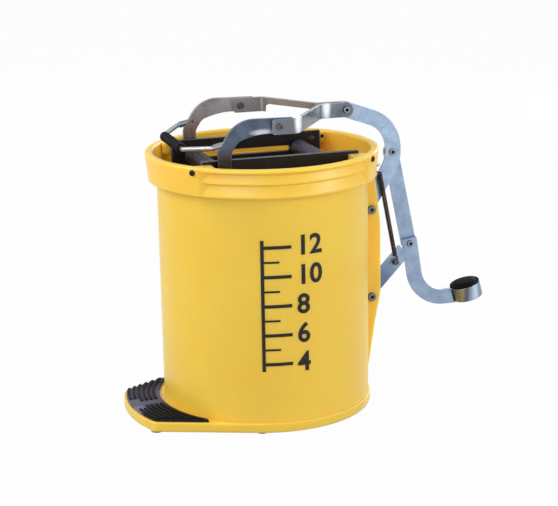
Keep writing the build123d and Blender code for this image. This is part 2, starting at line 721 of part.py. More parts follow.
def arm_outline(growth):
    """Side view of an arm: round foot, upright, knee and shoulder, drawn out by a growth."""
    with BuildSketch() as outline:
        with BuildLine():
            outer = FilletPolyline(
                (ARM_X[0], ARM_FOOT_Z),
                ARM_OUTER_KNEE,
                ARM_OUTER_SHOULDER,
                ARM_OUTER_END,
                radius=ARM_OUTER_ROUNDS,
            )
            inner = FilletPolyline(
                (ARM_X[1], ARM_FOOT_Z),
                ARM_INNER_KNEE,
                ARM_INNER_BEND,
                ARM_INNER_SHOULDER,
                ARM_INNER_END,
                radius=ARM_INNER_ROUNDS,
            )
            Line(outer @ 1, inner @ 1)
            Line(outer @ 0, inner @ 0)
        make_face()
        with Locations(((ARM_X[0] + ARM_X[1]) / 2, ARM_FOOT_Z)):
            Circle((ARM_X[1] - ARM_X[0]) / 2)
        if growth:
            offset(amount=growth)
    return outline.sketch


def tongue_outline(growth):
    """Side view of the flat tongue of the grip bail, drawn out by a growth."""
    with BuildSketch() as outline:
        with BuildLine():
            Line(TONGUE_POINT, TONGUE_ROOT)
        trace(line_width=TONGUE_W + 2 * growth)
        with Locations(TONGUE_POINT):
            Circle(TONGUE_W / 2 + growth)
    return outline.sketch


def pull_arm(side):
    """Bent strip from the moving axle up and over the plate; side is -1 in front and 1 at the rear."""
    rear_y = max(side * ARM_INNER_Y, side * ARM_OUTER_Y)
    with BuildPart() as arm:
        with BuildSketch(upright(rear_y)):
            add(arm_outline(0))
            with Locations((MOVING_AXLE_X + ARM_SLOT_SHIFT, (ARM_SLOT_Z[0] + ARM_SLOT_Z[1]) / 2)):
                SlotCenterToCenter(
                    ARM_SLOT_Z[1] - ARM_SLOT_Z[0],
                    2 * ARM_SLOT_R,
                    rotation=90,
                    mode=Mode.SUBTRACT,
                )
            with Locations((YOKE_BOLT_X, ARM_Z)):
                Circle(BOLT_R + SEAT_GAP, mode=Mode.SUBTRACT)
            with Locations(TONGUE_POINT):
                Circle(GRIP_RIVET_R + SEAT_GAP, mode=Mode.SUBTRACT)
        extrude(amount=ARM_T)
        with BuildSketch(upright(rear_y - (ARM_T - TONGUE_T) / 2 + SEAT_GAP)):
            add(tongue_outline(SEAT_GAP))
        extrude(amount=TONGUE_T + 2 * SEAT_GAP, mode=Mode.SUBTRACT)
    return arm


def yoke_leg(tab_y, bend_x, nose_y, waist_h):
    """Strip on edge from an arm to the yoke pin.

    tab_y and nose_y are its middle depth at the arm and at the pin, bend_x is where it leaves
    the arm, and waist_h the height left between its bends, or 0 for the full height.
    """
    with BuildPart() as leg:
        with BuildSketch(level(ARM_Z - STRIP_W / 2)):
            with BuildLine():
                FilletPolyline(
                    (YOKE_TAB_X, tab_y),
                    (bend_x, tab_y),
                    (YOKE_NOSE_X, nose_y),
                    (YOKE_POINT[0] + STRIP_W / 2, nose_y),
                    radius=YOKE_BEND_R,
                )
            trace(line_width=ARM_T)
        extrude(amount=STRIP_W)
        fillet(leg.edges().filter_by(Axis.Y).group_by(Axis.X)[-1], radius=STRIP_W / 2 - 0.1)
        fillet(leg.edges().filter_by(Axis.Y).group_by(Axis.X)[0], radius=3)
        with BuildSketch(upright(ARM_OUTER_Y + ARM_T)):
            with Locations((YOKE_BOLT_X, ARM_Z)):
                Circle(BOLT_R + SEAT_GAP)
            with Locations(YOKE_POINT):
                Circle(YOKE_PIN_R + RUN_GAP)
            if waist_h:
                with Locations(((bend_x + YOKE_NOSE_X) / 2, ARM_Z - STRIP_W / 2 - waist_h)):
                    RectangleRounded(YOKE_NOSE_X - bend_x - 6, 2 * STRIP_W, radius=4)
        extrude(amount=2 * (ARM_OUTER_Y + ARM_T), mode=Mode.SUBTRACT)
    return leg


front_pull_arm = pull_arm(-1)
save(front_pull_arm, "front_pull_arm")
rear_pull_arm = pull_arm(1)
save(rear_pull_arm, "rear_pull_arm")
YOKE_NOSE_Y = LINK_NEAR_Y + ARM_T / 2
front_yoke_leg = yoke_leg(-ARM_OUTER_Y - ARM_T / 2, FRONT_BEND_X, -YOKE_NOSE_Y, 0)
save(front_yoke_leg, "front_yoke_leg")
rear_yoke_leg = yoke_leg(ARM_INNER_Y - ARM_T / 2, REAR_BEND_X, YOKE_NOSE_Y, YOKE_WAIST_H)
save(rear_yoke_leg, "rear_yoke_leg")

# Bolts through arms and yoke legs: socket heads outside, hexagon nuts inside
with BuildPart() as yoke_bolts:
    for side, inner_y in ((-1, ARM_INNER_Y), (1, ARM_INNER_Y - ARM_T)):
        outward = Plane(
            origin=(BUCKET_X + YOKE_BOLT_X, side * inner_y, ARM_Z),
            x_dir=(1, 0, 0),
            z_dir=(0, side, 0),
        )
        with BuildSketch(outward):
            Circle(BOLT_R)
        extrude(amount=2 * ARM_T)
        with BuildSketch(outward.offset(2 * ARM_T)):
            Circle(BOLT_HEAD_R)
        extrude(amount=BOLT_HEAD_T, taper=8)
        with BuildSketch(outward.offset(2 * ARM_T + BOLT_HEAD_T)):
            RegularPolygon(radius=BOLT_SOCKET_R, side_count=6)
        extrude(amount=-PIN_DIMPLE_T, mode=Mode.SUBTRACT)
        with BuildSketch(outward):
            RegularPolygon(radius=BOLT_NUT_R, side_count=6)
        extrude(amount=-BOLT_NUT_T)
save(yoke_bolts, "yoke_bolts")

# Grip bail: one bent rod, flattened at each end to a tongue that sits in a slot of the arm
ARM_MID_Y = (ARM_INNER_Y + ARM_OUTER_Y) / 2
with BuildPart() as grip_bail:
    with BuildLine(BAIL_PLANE) as bail_path:
        FilletPolyline(
            (-ARM_MID_Y, BAIL_END),
            (-ARM_MID_Y, BAIL_KNEE),
            (-BAIL_CORNER_Y, 0),
            (BAIL_CORNER_Y, 0),
            (ARM_MID_Y, BAIL_KNEE),
            (ARM_MID_Y, BAIL_END),
            radius=BAIL_CORNER_R,
        )
    with BuildSketch(Plane(origin=bail_path.line @ 0, z_dir=bail_path.line % 0)):
        Circle(BAIL_R)
    sweep()
    for middle_y in (ARM_MID_Y, -ARM_MID_Y):
        with BuildSketch(upright(middle_y + 2 * ARM_T)):
            add(arm_outline(SEAT_GAP))
        extrude(amount=4 * ARM_T, mode=Mode.SUBTRACT)
        with BuildSketch(upright(middle_y + TONGUE_T / 2)):
            add(tongue_outline(0))
        extrude(amount=TONGUE_T)
    with BuildSketch(upright(ARM_OUTER_Y)):
        with Locations(TONGUE_POINT):
            Circle(GRIP_RIVET_R + SEAT_GAP)
    extrude(amount=2 * ARM_OUTER_Y, mode=Mode.SUBTRACT)
save(grip_bail, "grip_bail")

# Small rivets through the arms and the tongues
with BuildPart() as grip_rivets:
    for middle_y in (ARM_MID_Y, -ARM_MID_Y):
        with BuildSketch(upright(middle_y + ARM_T / 2 + GRIP_RIVET_PROUD)):
            with Locations(TONGUE_POINT):
                Circle(GRIP_RIVET_R)
        extrude(amount=ARM_T + 2 * GRIP_RIVET_PROUD)
save(grip_rivets, "grip_rivets")

# Ribbed grip sleeve on the bail
grip_pitch = 2 * GRIP_HALF_L / GRIP_RIBS
grip_outline = [(BAIL_R + SEAT_GAP, -GRIP_HALF_L)]
for row in range(GRIP_RIBS):
    rib_y = -GRIP_HALF_L + row * grip_pitch
    grip_outline.append((GRIP_R - GRIP_RIB_DEPTH, rib_y))
    grip_outline.append((GRIP_R, rib_y + 0.25 * grip_pitch))
    grip_outline.append((GRIP_R, rib_y + 0.75 * grip_pitch))
grip_outline.append((GRIP_R - GRIP_RIB_DEPTH, GRIP_HALF_L))
grip_outline.append((BAIL_R + SEAT_GAP, GRIP_HALF_L))
with BuildPart() as grip:
    with BuildSketch(Plane(origin=(BUCKET_X + GRIP_POINT[0], 0, GRIP_POINT[1]))):
        with BuildLine():
            Polyline(*grip_outline, close=True)
        make_face()
    revolve(axis=Axis((BUCKET_X + GRIP_POINT[0], 0, GRIP_POINT[1]), (0, 1, 0)))
save(grip, "grip")

# Screw eye under the rim
with BuildPart() as spring_eye:
    with BuildSketch(EYE_PLANE):
        Circle(EYE_SHANK_R)
    extrude(amount=EYE_RING_POINT[0] - EYE_RING_R - EYE_SHANK_X)
    with Locations((BUCKET_X + EYE_RING_POINT[0], HOOK_Y, EYE_RING_POINT[1])):
        Torus(EYE_RING_R, EYE_WIRE_R)
save(spring_eye, "spring_eye")


def biarc_joint(start, start_way, end, end_way):
    """Meeting point and direction of two arcs that join two directed points."""
    chord = end - start
    both = start_way + end_way
    square = 4 - both.dot(both)
    slope = 2 * chord.dot(both)
    reach = (sqrt(slope**2 + 4 * square * chord.dot(chord)) - slope) / (2 * square)
    near = start + start_way * reach
    far = end - end_way * reach
    return (near + far) * 0.5, (far - near).normalized()


def least_gap(points, wire_r, skip):
    """Least clear gap between stretches of a wire that lie more than skip points apart."""
    nearest = min(
        dist(points[first], points[second])
        for first in range(len(points))
        for second in range(first + skip, min(first + 6 * skip, len(points)))
    )
    return nearest - 2 * wire_r


# Return spring: close coil between two open hooks, drawn along its own axis
hook_top = (EYE_RING_POINT[0] + EYE_RING_R, EYE_RING_POINT[1])
spring_l = dist(hook_top, STUD_POINT)
SPRING_PLANE = Plane(
    origin=(BUCKET_X + hook_top[0], HOOK_Y - SPRING_R, hook_top[1]),
    x_dir=(0, 1, 0),
    z_dir=((STUD_POINT[0] - hook_top[0]) / spring_l, 0, (STUD_POINT[1] - hook_top[1]) / spring_l),
)
turn_l = hypot(2 * pi * SPRING_R, SPRING_PITCH)
climb = SPRING_PITCH / turn_l
around = 2 * pi * SPRING_R / turn_l
hook_rise = HOOK_R * around / (1 - climb)
coil_start = (spring_l - SPRING_TURNS * SPRING_PITCH) / 2
coil_end = spring_l - coil_start


def spring_way(side, across, along):
    """Direction given in the spring's own frame."""
    return SPRING_PLANE.x_dir * side + SPRING_PLANE.y_dir * across + SPRING_PLANE.z_dir * along


def spring_at(side, across, along):
    """Point given in the spring's own frame."""
    return SPRING_PLANE.origin + spring_way(side, across, along)


with BuildPart() as return_spring:
    with BuildLine() as coil:
        tip = Line(spring_at(SPRING_R, HOOK_R, HOOK_TIP), spring_at(SPRING_R, HOOK_R, 0))
        bow = ThreePointArc(tip @ 1, spring_at(SPRING_R, 0, -HOOK_R), spring_at(SPRING_R, -HOOK_R, 0))
        neck = Line(bow @ 1, spring_at(SPRING_R, -HOOK_R, coil_start - hook_rise))
        last = TangentArc(neck @ 1, spring_at(SPRING_R, 0, coil_start), tangent=neck % 1)
        for half in range(2 * SPRING_TURNS):
            hand = 1 if half % 2 == 0 else -1
            start = last @ 1
            start_way = spring_way(0, hand * around, climb)
            end = spring_at(-hand * SPRING_R, 0, coil_start + (half + 1) * SPRING_PITCH / 2)
            end_way = spring_way(0, -hand * around, climb)
            joint, joint_way = biarc_joint(start, start_way, end, end_way)
            first = TangentArc(start, joint, tangent=start_way)
            last = TangentArc(first @ 1, end, tangent=joint_way)
        bend = TangentArc(
            last @ 1,
            spring_at(SPRING_R, HOOK_R, coil_end + hook_rise),
            tangent=spring_way(0, around, climb),
        )
        neck = Line(bend @ 1, spring_at(SPRING_R, HOOK_R, spring_l))
        bow = ThreePointArc(
            neck @ 1,
            spring_at(SPRING_R, 0, spring_l + HOOK_R),
            spring_at(SPRING_R, -HOOK_R, spring_l),
        )
        Line(bow @ 1, spring_at(SPRING_R, -HOOK_R, spring_l - HOOK_TIP))
    with BuildSketch(Plane(origin=coil.line @ 0, z_dir=coil.line % 0)):
        Circle(SPRING_WIRE_R)
    sweep()
save(return_spring, "return_spring")

# Points along the wire, compared from half a turn onwards
wire = coil.wires()[0]
point_count = 24 * SPRING_TURNS
wire_points = [tuple(wire @ (step / point_count)) for step in range(point_count + 1)]
spring_gap = least_gap(wire_points, SPRING_WIRE_R, 12)
print(f"return_spring: {SPRING_TURNS} turns, least gap {spring_gap:.2f} mm")
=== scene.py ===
"""Looks of a foot-pedal mop bucket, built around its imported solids."""

import json
import logging
import math
from abc import ABC, abstractmethod
from collections.abc import Iterator
from contextlib import contextmanager
from dataclasses import dataclass
from enum import Enum

import bpy
from mathutils import Matrix, Vector
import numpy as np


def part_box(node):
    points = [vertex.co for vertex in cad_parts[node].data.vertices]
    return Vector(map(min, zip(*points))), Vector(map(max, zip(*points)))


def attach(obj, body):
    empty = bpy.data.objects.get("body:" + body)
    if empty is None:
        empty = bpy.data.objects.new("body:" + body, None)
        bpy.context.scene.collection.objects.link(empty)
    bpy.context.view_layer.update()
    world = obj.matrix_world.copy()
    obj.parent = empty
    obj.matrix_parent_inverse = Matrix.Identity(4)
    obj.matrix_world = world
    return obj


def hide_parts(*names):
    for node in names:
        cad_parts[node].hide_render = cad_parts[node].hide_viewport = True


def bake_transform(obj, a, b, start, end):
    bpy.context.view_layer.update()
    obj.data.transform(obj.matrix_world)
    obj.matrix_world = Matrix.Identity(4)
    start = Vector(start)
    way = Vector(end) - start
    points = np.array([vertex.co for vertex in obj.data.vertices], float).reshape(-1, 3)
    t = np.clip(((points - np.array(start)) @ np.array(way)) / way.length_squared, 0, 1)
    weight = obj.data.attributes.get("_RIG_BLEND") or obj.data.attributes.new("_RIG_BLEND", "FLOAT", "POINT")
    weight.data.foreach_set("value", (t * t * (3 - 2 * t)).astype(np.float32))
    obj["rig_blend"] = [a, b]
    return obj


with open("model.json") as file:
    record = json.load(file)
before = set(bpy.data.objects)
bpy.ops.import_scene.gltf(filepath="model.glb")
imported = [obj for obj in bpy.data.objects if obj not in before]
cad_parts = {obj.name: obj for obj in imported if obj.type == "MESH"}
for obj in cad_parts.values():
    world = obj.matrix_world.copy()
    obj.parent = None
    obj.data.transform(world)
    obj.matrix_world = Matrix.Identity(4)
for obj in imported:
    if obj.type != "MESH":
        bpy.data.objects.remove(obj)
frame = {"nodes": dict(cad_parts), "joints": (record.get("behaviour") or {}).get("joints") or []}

LOG = logging.getLogger("mop_bucket")
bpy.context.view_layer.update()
BUCKET_AXIS_X = -0.059254
NOISE_SPAN = (0.3, 0.7)

Colour = tuple[float, float, float]
Point = tuple[float, float, float]
Socket = bpy.types.NodeSocket
Piece = bpy.types.Object
Input = float | Point | Socket


class Tone(Enum):
    """Lit and shaded copies of one plated steel, one tone set for each strip so that its colour holds the
    painted light and shade that strip shows; as linear colours of light and dark spots.
    """

    PALE_BLUE = ((0.39, 0.50, 0.66), (0.29, 0.38, 0.52))
    BLUE = ((0.31, 0.39, 0.53), (0.23, 0.30, 0.42))
    DEEP_BLUE = ((0.13, 0.17, 0.25), (0.060, 0.072, 0.105))
    GREY = ((0.40, 0.385, 0.43), (0.27, 0.255, 0.28))
    SILVER = ((0.23, 0.27, 0.31), (0.125, 0.145, 0.165))
    # The brown tone is a painted reflection on the rear yoke leg.
    BROWN = ((0.35, 0.31, 0.295), (0.25, 0.21, 0.20))
    STEEL = ((0.27, 0.33, 0.43), (0.20, 0.235, 0.31))


class Mouth(Enum):
    """Way that the open side of a retaining clip looks, as an angle from +X about -Y."""

    DOWN = -90.0
    REAR_DOWN = -140.0


def deselect_all() -> None:
    """Goes to object mode with nothing selected."""
    if bpy.context.object and bpy.context.object.mode != "OBJECT":
        bpy.ops.object.mode_set(mode="OBJECT")
    bpy.ops.object.select_all(action="DESELECT")


def make_active(piece: Piece) -> None:
    """Selects one object alone and makes it the active one.

    Args:
        piece: The object.
    """
    deselect_all()
    piece.select_set(True)
    bpy.context.view_layer.objects.active = piece


def apply_modifiers(piece: Piece) -> None:
    """Applies every modifier of a piece in order.

    Args:
        piece: Mesh object.
    """
    make_active(piece)
    for modifier in list(piece.modifiers):
        bpy.ops.object.modifier_apply(modifier=modifier.name)


def remove(piece: Piece) -> None:
    """Deletes an object that is no longer needed."""
    make_active(piece)
    bpy.ops.object.delete()


@contextmanager
def editing() -> Iterator[None]:
    """Keeps the active object in edit mode while a block runs.

    Yields:
        Nothing, once edit mode is on.
    """
    bpy.ops.object.mode_set(mode="EDIT")
    yield
    bpy.ops.object.mode_set(mode="OBJECT")


def settle(piece: Piece, place: Matrix) -> None:
    """Puts a piece at its place and moves that place into its mesh.

    Args:
        piece: Object that was modelled about its own origin.
        place: Matrix from the modelling frame to the row frame.
    """
    piece.matrix_world = place
    make_active(piece)
    bpy.ops.object.transform_apply(location=True, rotation=True, scale=True)


def standing(origin: Vector, out: Vector, side: Vector) -> Matrix:
    """Place of a piece whose own Z looks out and whose own X looks to a side, square to that."""
    ways = Matrix((side, out.cross(side), out)).transposed()
    return Matrix.Translation(origin) @ ways.to_4x4()


def turned(name: str, sides: int, outline: list[tuple[float, float]]) -> Piece:
    """Round piece about Z, raised ring by ring from a disc.

    Args:
        name: Name of the piece.
        sides: Sides of the rings.
        outline: Radius and height of each ring, from the bottom up.

    Returns:
        The closed mesh object at the origin.
    """
    deselect_all()
    radius, height = outline[0]
    bpy.ops.mesh.primitive_circle_add(vertices=sides, radius=radius, fill_type="NGON")
    piece = bpy.context.object
    piece.name = name
    settle(piece, Matrix.Translation((0.0, 0.0, height)))
    with editing():
        bpy.ops.mesh.select_all(action="SELECT")
        for next_radius, next_height in outline[1:]:
            rise = (0.0, 0.0, next_height - height)
            bpy.ops.mesh.extrude_region_move(TRANSFORM_OT_translate={"value": rise})
            grow = next_radius / radius
            bpy.ops.transform.resize(value=(grow, grow, 1.0), center_override=(0.0, 0.0, next_height))
            radius, height = next_radius, next_height
        bpy.ops.mesh.select_all(action="SELECT")
        bpy.ops.mesh.normals_make_consistent(inside=False)
    return piece


def smooth(piece: Piece, levels: int, crease: float = math.radians(40)) -> None:
    """Subdivides a piece and smooths its faces.

    Args:
        piece: Mesh object.
        levels: Levels of subdivision, or 0.
        crease: Angle above which an edge stays sharp.
    """
    if levels:
        surface = piece.modifiers.new("surface", "SUBSURF")
        surface.levels = levels
        surface.render_levels = levels
        apply_modifiers(piece)
    make_active(piece)
    bpy.ops.object.shade_smooth_by_angle(angle=crease)


def copies(pattern: Piece, places: dict[str, Matrix]) -> list[Piece]:
    """Copies a piece to its places and removes the pattern.

    Args:
        pattern: Piece modelled about its own origin.
        places: Matrix from the modelling frame to the row frame, by name of the copy.

    Returns:
        The copies, each with its own mesh.
    """
    pieces = []
    for name, place in places.items():
        make_active(pattern)
        bpy.ops.object.duplicate()
        piece = bpy.context.object
        piece.name = name
        piece.data.name = name
        settle(piece, place)
        pieces.append(piece)
    remove(pattern)
    return pieces


@dataclass(frozen=True)
class Patch:
    """Soft-edged patch of another colour on a surface.

    It is full near its centre and gone at its reach, which is given along each axis.
    """

    centre: Point
    reach: Point
    colour: Colour
    share: float


class ShaderSheet:
    """Node tree of one new material, with the few nodes that the finishes share."""

    edge_samples: int = 4

    def __init__(self, name: str) -> None:
        """Starts a material with a Principled shader and Object coordinates.

        Args:
            name: Name of the material.
        """
        self.material = bpy.data.materials.new(name)
        self.material.use_nodes = True
        self.tree = self.material.node_tree
        self.shader = self.tree.nodes["Principled BSDF"]
        self.coords = self.tree.nodes.new("ShaderNodeTexCoord").outputs["Object"]

    def feed(self, node: bpy.types.Node, **inputs: Input) -> None:
        """Feeds inputs of a node, named with underscores for blanks.

        Args:
            node: The node.
            inputs: An output to link to each input, or a constant to set on it.
        """
        for name, value in inputs.items():
            socket = node.inputs[name.replace("_", " ").title().replace("Ior", "IOR")]
            if isinstance(value, Socket):
                self.tree.links.new(value, socket)
            else:
                socket.default_value = value

    def set(self, **inputs: Input) -> None:
        """Feeds the shader's own sockets."""
        self.feed(self.shader, **inputs)

    def node(self, kind: str, **inputs: Input) -> bpy.types.Node:
        """Adds a node and feeds its inputs.

        Args:
            kind: Type of the node, without its prefix.
            inputs: An output or a constant for each input.

        Returns:
            The node.
        """
        node = self.tree.nodes.new(f"ShaderNode{kind}")
        self.feed(node, **inputs)
        return node

    def stretched(self, scale: Point, shift: Point = (0.0, 0.0, 0.0)) -> Socket:
        """Object coordinates, scaled by axis and then shifted."""
        return self.node("Mapping", vector=self.coords, scale=scale, location=shift).outputs["Vector"]

    def noise(self, scale: float, detail: float, coords: Socket | None = None) -> Socket:
        """Noise from 0 to 1 by cells in a metre and octaves, at the Object coordinates or others."""
        node = self.node("TexNoise", vector=coords or self.coords, scale=scale, detail=detail)
        return node.outputs["Fac"]

    def spread(self, value: Socket, read: tuple[float, float], give: tuple[float, float]) -> Socket:
        """Maps a value from one range to another, clamped.

        Args:
            value: Value to map.
            read: Start and end of the range read.
            give: Results at that start and end.

        Returns:
            The mapped value.
        """
        node = self.node("MapRange", value=value, from_min=read[0], from_max=read[1])
        self.feed(node, to_min=give[0], to_max=give[1])
        return node.outputs["Result"]

    def vector_math(self, operation: str, *vectors: Socket) -> Socket:
        """Works out a number from one or two vectors.

        Args:
            operation: Name of the operation.
            vectors: The vectors.

        Returns:
            The number.
        """
        node = self.node("VectorMath")
        node.operation = operation
        for vector, socket in zip(vectors, node.inputs):
            self.tree.links.new(vector, socket)
        return node.outputs["Value"]

    def blend(self, share: Socket, first: Colour | Socket, second: Colour | Socket) -> Socket:
        """Mixes two colours.

        Args:
            share: 0 for the first colour, 1 for the second.
            first: Linear colour, or a colour output.
            second: Linear colour, or a colour output.

        Returns:
            The mixed colour.
        """
        node = self.node("Mix")
        node.data_type = "RGBA"
        self.tree.links.new(share, node.inputs[0])
        for colour, socket in ((first, node.inputs[6]), (second, node.inputs[7])):
            if isinstance(colour, tuple):
                socket.default_value = (*colour, 1.0)
            else:
                self.tree.links.new(colour, socket)
        return node.outputs[2]

    def patched(self, colour: Colour | Socket, patches: tuple[Patch, ...]) -> Colour | Socket:
        """Lays patches over a colour.

        Args:
            colour: Linear colour, or a colour output.
            patches: Patches, the last on top.

        Returns:
            The patched colour.
        """
        for patch in patches:
            scale = tuple(1 / reach for reach in patch.reach)
            shift = tuple(-place / reach for place, reach in zip(patch.centre, patch.reach))
            away = self.vector_math("LENGTH", self.stretched(scale, shift))
            colour = self.blend(self.spread(away, (0.35, 1.0), (patch.share, 0.0)), colour, patch.colour)
        return colour

    def soft_edges(self, radius: float) -> Socket:
        """Normal that rounds the edges.

        Args:
            radius: Radius of the rounding.

        Returns:
            The normal.
        """
        bevel = self.node("Bevel", radius=radius)
        bevel.samples = self.edge_samples
        return bevel.outputs["Normal"]

    def edge_share(self, radius: float) -> Socket:
        """Value that rises from 0 on flats to 1 on edges.

        Args:
            radius: Distance from an edge at which it starts.

        Returns:
            The value.
        """
        flat = self.node("NewGeometry").outputs["Normal"]
        lean = self.vector_math("DOT_PRODUCT", self.soft_edges(radius), flat)
        return self.spread(lean, (0.995, 0.86), (0.0, 1.0))

    def bump(self, height: Socket, depth: float, edge_round: float) -> None:
        """Links a bump with its height in metres, over edges that are softened by a radius."""
        node = self.node("Bump", distance=depth, height=height, normal=self.soft_edges(edge_round))
        self.set(normal=node.outputs["Normal"])


@dataclass(frozen=True)
class Finish(ABC):
    """Look of a surface, by the name of its material."""

    name: str

    @abstractmethod
    def paint(self, sheet: ShaderSheet) -> None:
        """Sets up the shader.

        Args:
            sheet: Sheet of the new material.
        """


@dataclass(frozen=True)
class MouldedPlastic(Finish):
    """Satin coloured plastic with a faint mould grain, uneven gloss and fine rubbing marks."""

    colour: Colour
    deep_colour: Colour
    rubbed_colour: Colour
    roughness: float = 0.34
    grain_depth: float = 0.00006
    glow: float = 0.75
    glow_depth: float = 0.013

    def paint(self, sheet: ShaderSheet) -> None:
        """Sets up the shader.

        Args:
            sheet: Sheet of the new material.
        """
        tint = sheet.spread(sheet.noise(scale=11.0, detail=3.0), (0.35, 0.75), (0.0, 1.0))
        clouded = sheet.blend(tint, self.colour, self.deep_colour)
        rubs = sheet.noise(scale=90.0, detail=8.0, coords=sheet.stretched((1.0, 1.0, 0.12)))
        rubbed = sheet.spread(rubs, (0.60, 0.78), (0.0, 0.35))
        gloss = (self.roughness - 0.06, self.roughness + 0.10)
        sheet.set(base_color=sheet.blend(rubbed, clouded, self.rubbed_colour))
        sheet.set(roughness=sheet.spread(rubs, NOISE_SPAN, gloss))
        sheet.bump(sheet.noise(scale=700.0, detail=2.0), self.grain_depth, edge_round=0.0008)
        sheet.set(specular_ior_level=0.42, subsurface_radius=(1.0, 1.0, 0.5))
        sheet.set(subsurface_weight=self.glow, subsurface_scale=self.glow_depth)


@dataclass(frozen=True)
class ZincPlate(Finish):
    """Plated strip steel: cloudy, with fine rolling lines, edges painted lighter as wear and painted
    highlight, and patches of painted shade, highlight and reflection.
    """

    tone: Tone
    roughness: float = 0.34
    cloud_scale: float = 62.0
    rolling: Point = (1.0, 6.0, 1.0)
    edge_gain: float = 1.25
    grain_depth: float = 0.00006
    patches: tuple[Patch, ...] = ()
    edge_r: float = 0.0011

    def paint(self, sheet: ShaderSheet) -> None:
        """Sets up the shader.

        Args:
            sheet: Sheet of the new material.
        """
        light, dark = self.tone.value
        clouds = sheet.spread(sheet.noise(self.cloud_scale, detail=5.0), (0.34, 0.66), (0.0, 1.0))
        # The patches paint shade, highlights and reflections over the plating.
        plated = sheet.patched(sheet.blend(clouds, light, dark), self.patches)
        # Edges painted lighter: partly wear, partly a painted highlight.
        worn = tuple(min(1.0, self.edge_gain * part) for part in light)
        sheet.set(base_color=sheet.blend(sheet.edge_share(self.edge_r), plated, worn))
        lines = sheet.noise(scale=260.0, detail=4.0, coords=sheet.stretched(self.rolling))
        gloss = (self.roughness - 0.09, self.roughness + 0.10)
        sheet.set(roughness=sheet.spread(lines, NOISE_SPAN, gloss), metallic=1.0)
        sheet.bump(lines, self.grain_depth, edge_round=0.0006)


@dataclass(frozen=True)
class TurnedSteel(Finish):
    """Bright or dark turned steel of rods, springs and fasteners, some with patches of painted light."""

    colour: Colour
    roughness: float
    stain: Colour
    patches: tuple[Patch, ...] = ()

    def paint(self, sheet: ShaderSheet) -> None:
        """Sets up the shader.

        Args:
            sheet: Sheet of the new material.
        """
        stains = sheet.spread(sheet.noise(scale=180.0, detail=5.0), (0.45, 0.75), (0.0, 0.8))
        # The patches are painted light, laid over the stains.
        sheet.set(base_color=sheet.patched(sheet.blend(stains, self.colour, self.stain), self.patches))
        marks = sheet.noise(scale=420.0, detail=3.0)
        gloss = (self.roughness - 0.05, self.roughness + 0.08)
        sheet.set(roughness=sheet.spread(marks, NOISE_SPAN, gloss), metallic=1.0)
        sheet.bump(marks, depth=0.00003, edge_round=0.0004)


@dataclass(frozen=True)
class RivetHead(Finish):
    """Pin head along Y: painted shade as a dark centre for its hollow, a land of the given colour and
    painted shade as a dull dark rim.
    """

    centre: Point
    hollow_r: float
    rim_r: float
    land: Colour
    # The dark hollow and rim colours are painted shade.
    hollow: Colour = (0.016, 0.014, 0.016)
    rim: Colour = (0.10, 0.095, 0.10)

    def paint(self, sheet: ShaderSheet) -> None:
        """Sets up the shader.

        Args:
            sheet: Sheet of the new material.
        """
        across = sheet.stretched((1.0, 0.0, 1.0), (-self.centre[0], 0.0, -self.centre[2]))
        radius = sheet.vector_math("LENGTH", across)
        inside = sheet.spread(radius, (self.hollow_r, self.hollow_r + 0.0004), (1.0, 0.0))
        outside = sheet.spread(radius, (self.rim_r - 0.0009, self.rim_r), (0.0, 1.0))
        # The dark centre and the dark rim are painted shade.
        hollowed = sheet.blend(inside, self.land, self.hollow)
        sheet.set(base_color=sheet.blend(outside, hollowed, self.rim))
        marks = sheet.noise(scale=380.0, detail=4.0)
        sheet.set(roughness=sheet.spread(marks, NOISE_SPAN, (0.26, 0.44)), metallic=1.0)
        sheet.bump(marks, depth=0.00004, edge_round=0.0004)


@dataclass(frozen=True)
class BlackCoat(Finish):
    """Black plastic, rubber or paint, dulled by dust in patches and painted lighter at the edges, as wear
    and as a painted highlight.
    """

    colour: Colour
    dust: Colour
    roughness: float
    grain_scale: float
    grain_depth: float
    specular: float = 0.3
    worn: Colour = (0.030, 0.031, 0.036)
    edge_r: float = 0.0010

    def paint(self, sheet: ShaderSheet) -> None:
        """Sets up the shader.

        Args:
            sheet: Sheet of the new material.
        """
        patches = sheet.spread(sheet.noise(scale=70.0, detail=5.0), (0.42, 0.78), (0.0, 0.7))
        coat = sheet.blend(patches, self.colour, self.dust)
        # Edges painted lighter: partly wear, partly a painted highlight.
        sheet.set(base_color=sheet.blend(sheet.edge_share(self.edge_r), coat, self.worn))
        grain = sheet.noise(self.grain_scale, detail=3.0)
        gloss = (self.roughness - 0.07, self.roughness + 0.09)
        sheet.set(roughness=sheet.spread(grain, NOISE_SPAN, gloss), specular_ior_level=self.specular)
        sheet.bump(grain, self.grain_depth, edge_round=0.0005)


@dataclass(frozen=True)
class RibbedRubber(Finish):
    """Black rubber whose grooves hold dust, and are paler and bluer in listed patches."""

    colour: Colour
    groove_dust: Colour
    groove_z: float
    rib_z: float
    trodden: tuple[Patch, ...]

    def paint(self, sheet: ShaderSheet) -> None:
        """Sets up the shader.

        Args:
            sheet: Sheet of the new material.
        """
        height = sheet.node("SeparateXYZ", vector=sheet.coords).outputs["Z"]
        depth = sheet.spread(height, (self.groove_z, self.rib_z), (1.0, 0.0))
        dust = sheet.patched(self.groove_dust, self.trodden)
        sheet.set(base_color=sheet.blend(depth, self.colour, dust))
        grain = sheet.noise(scale=500.0, detail=4.0)
        sheet.set(roughness=sheet.spread(grain, NOISE_SPAN, (0.50, 0.70)), specular_ior_level=0.10)
        sheet.bump(grain, depth=0.00008, edge_round=0.0004)


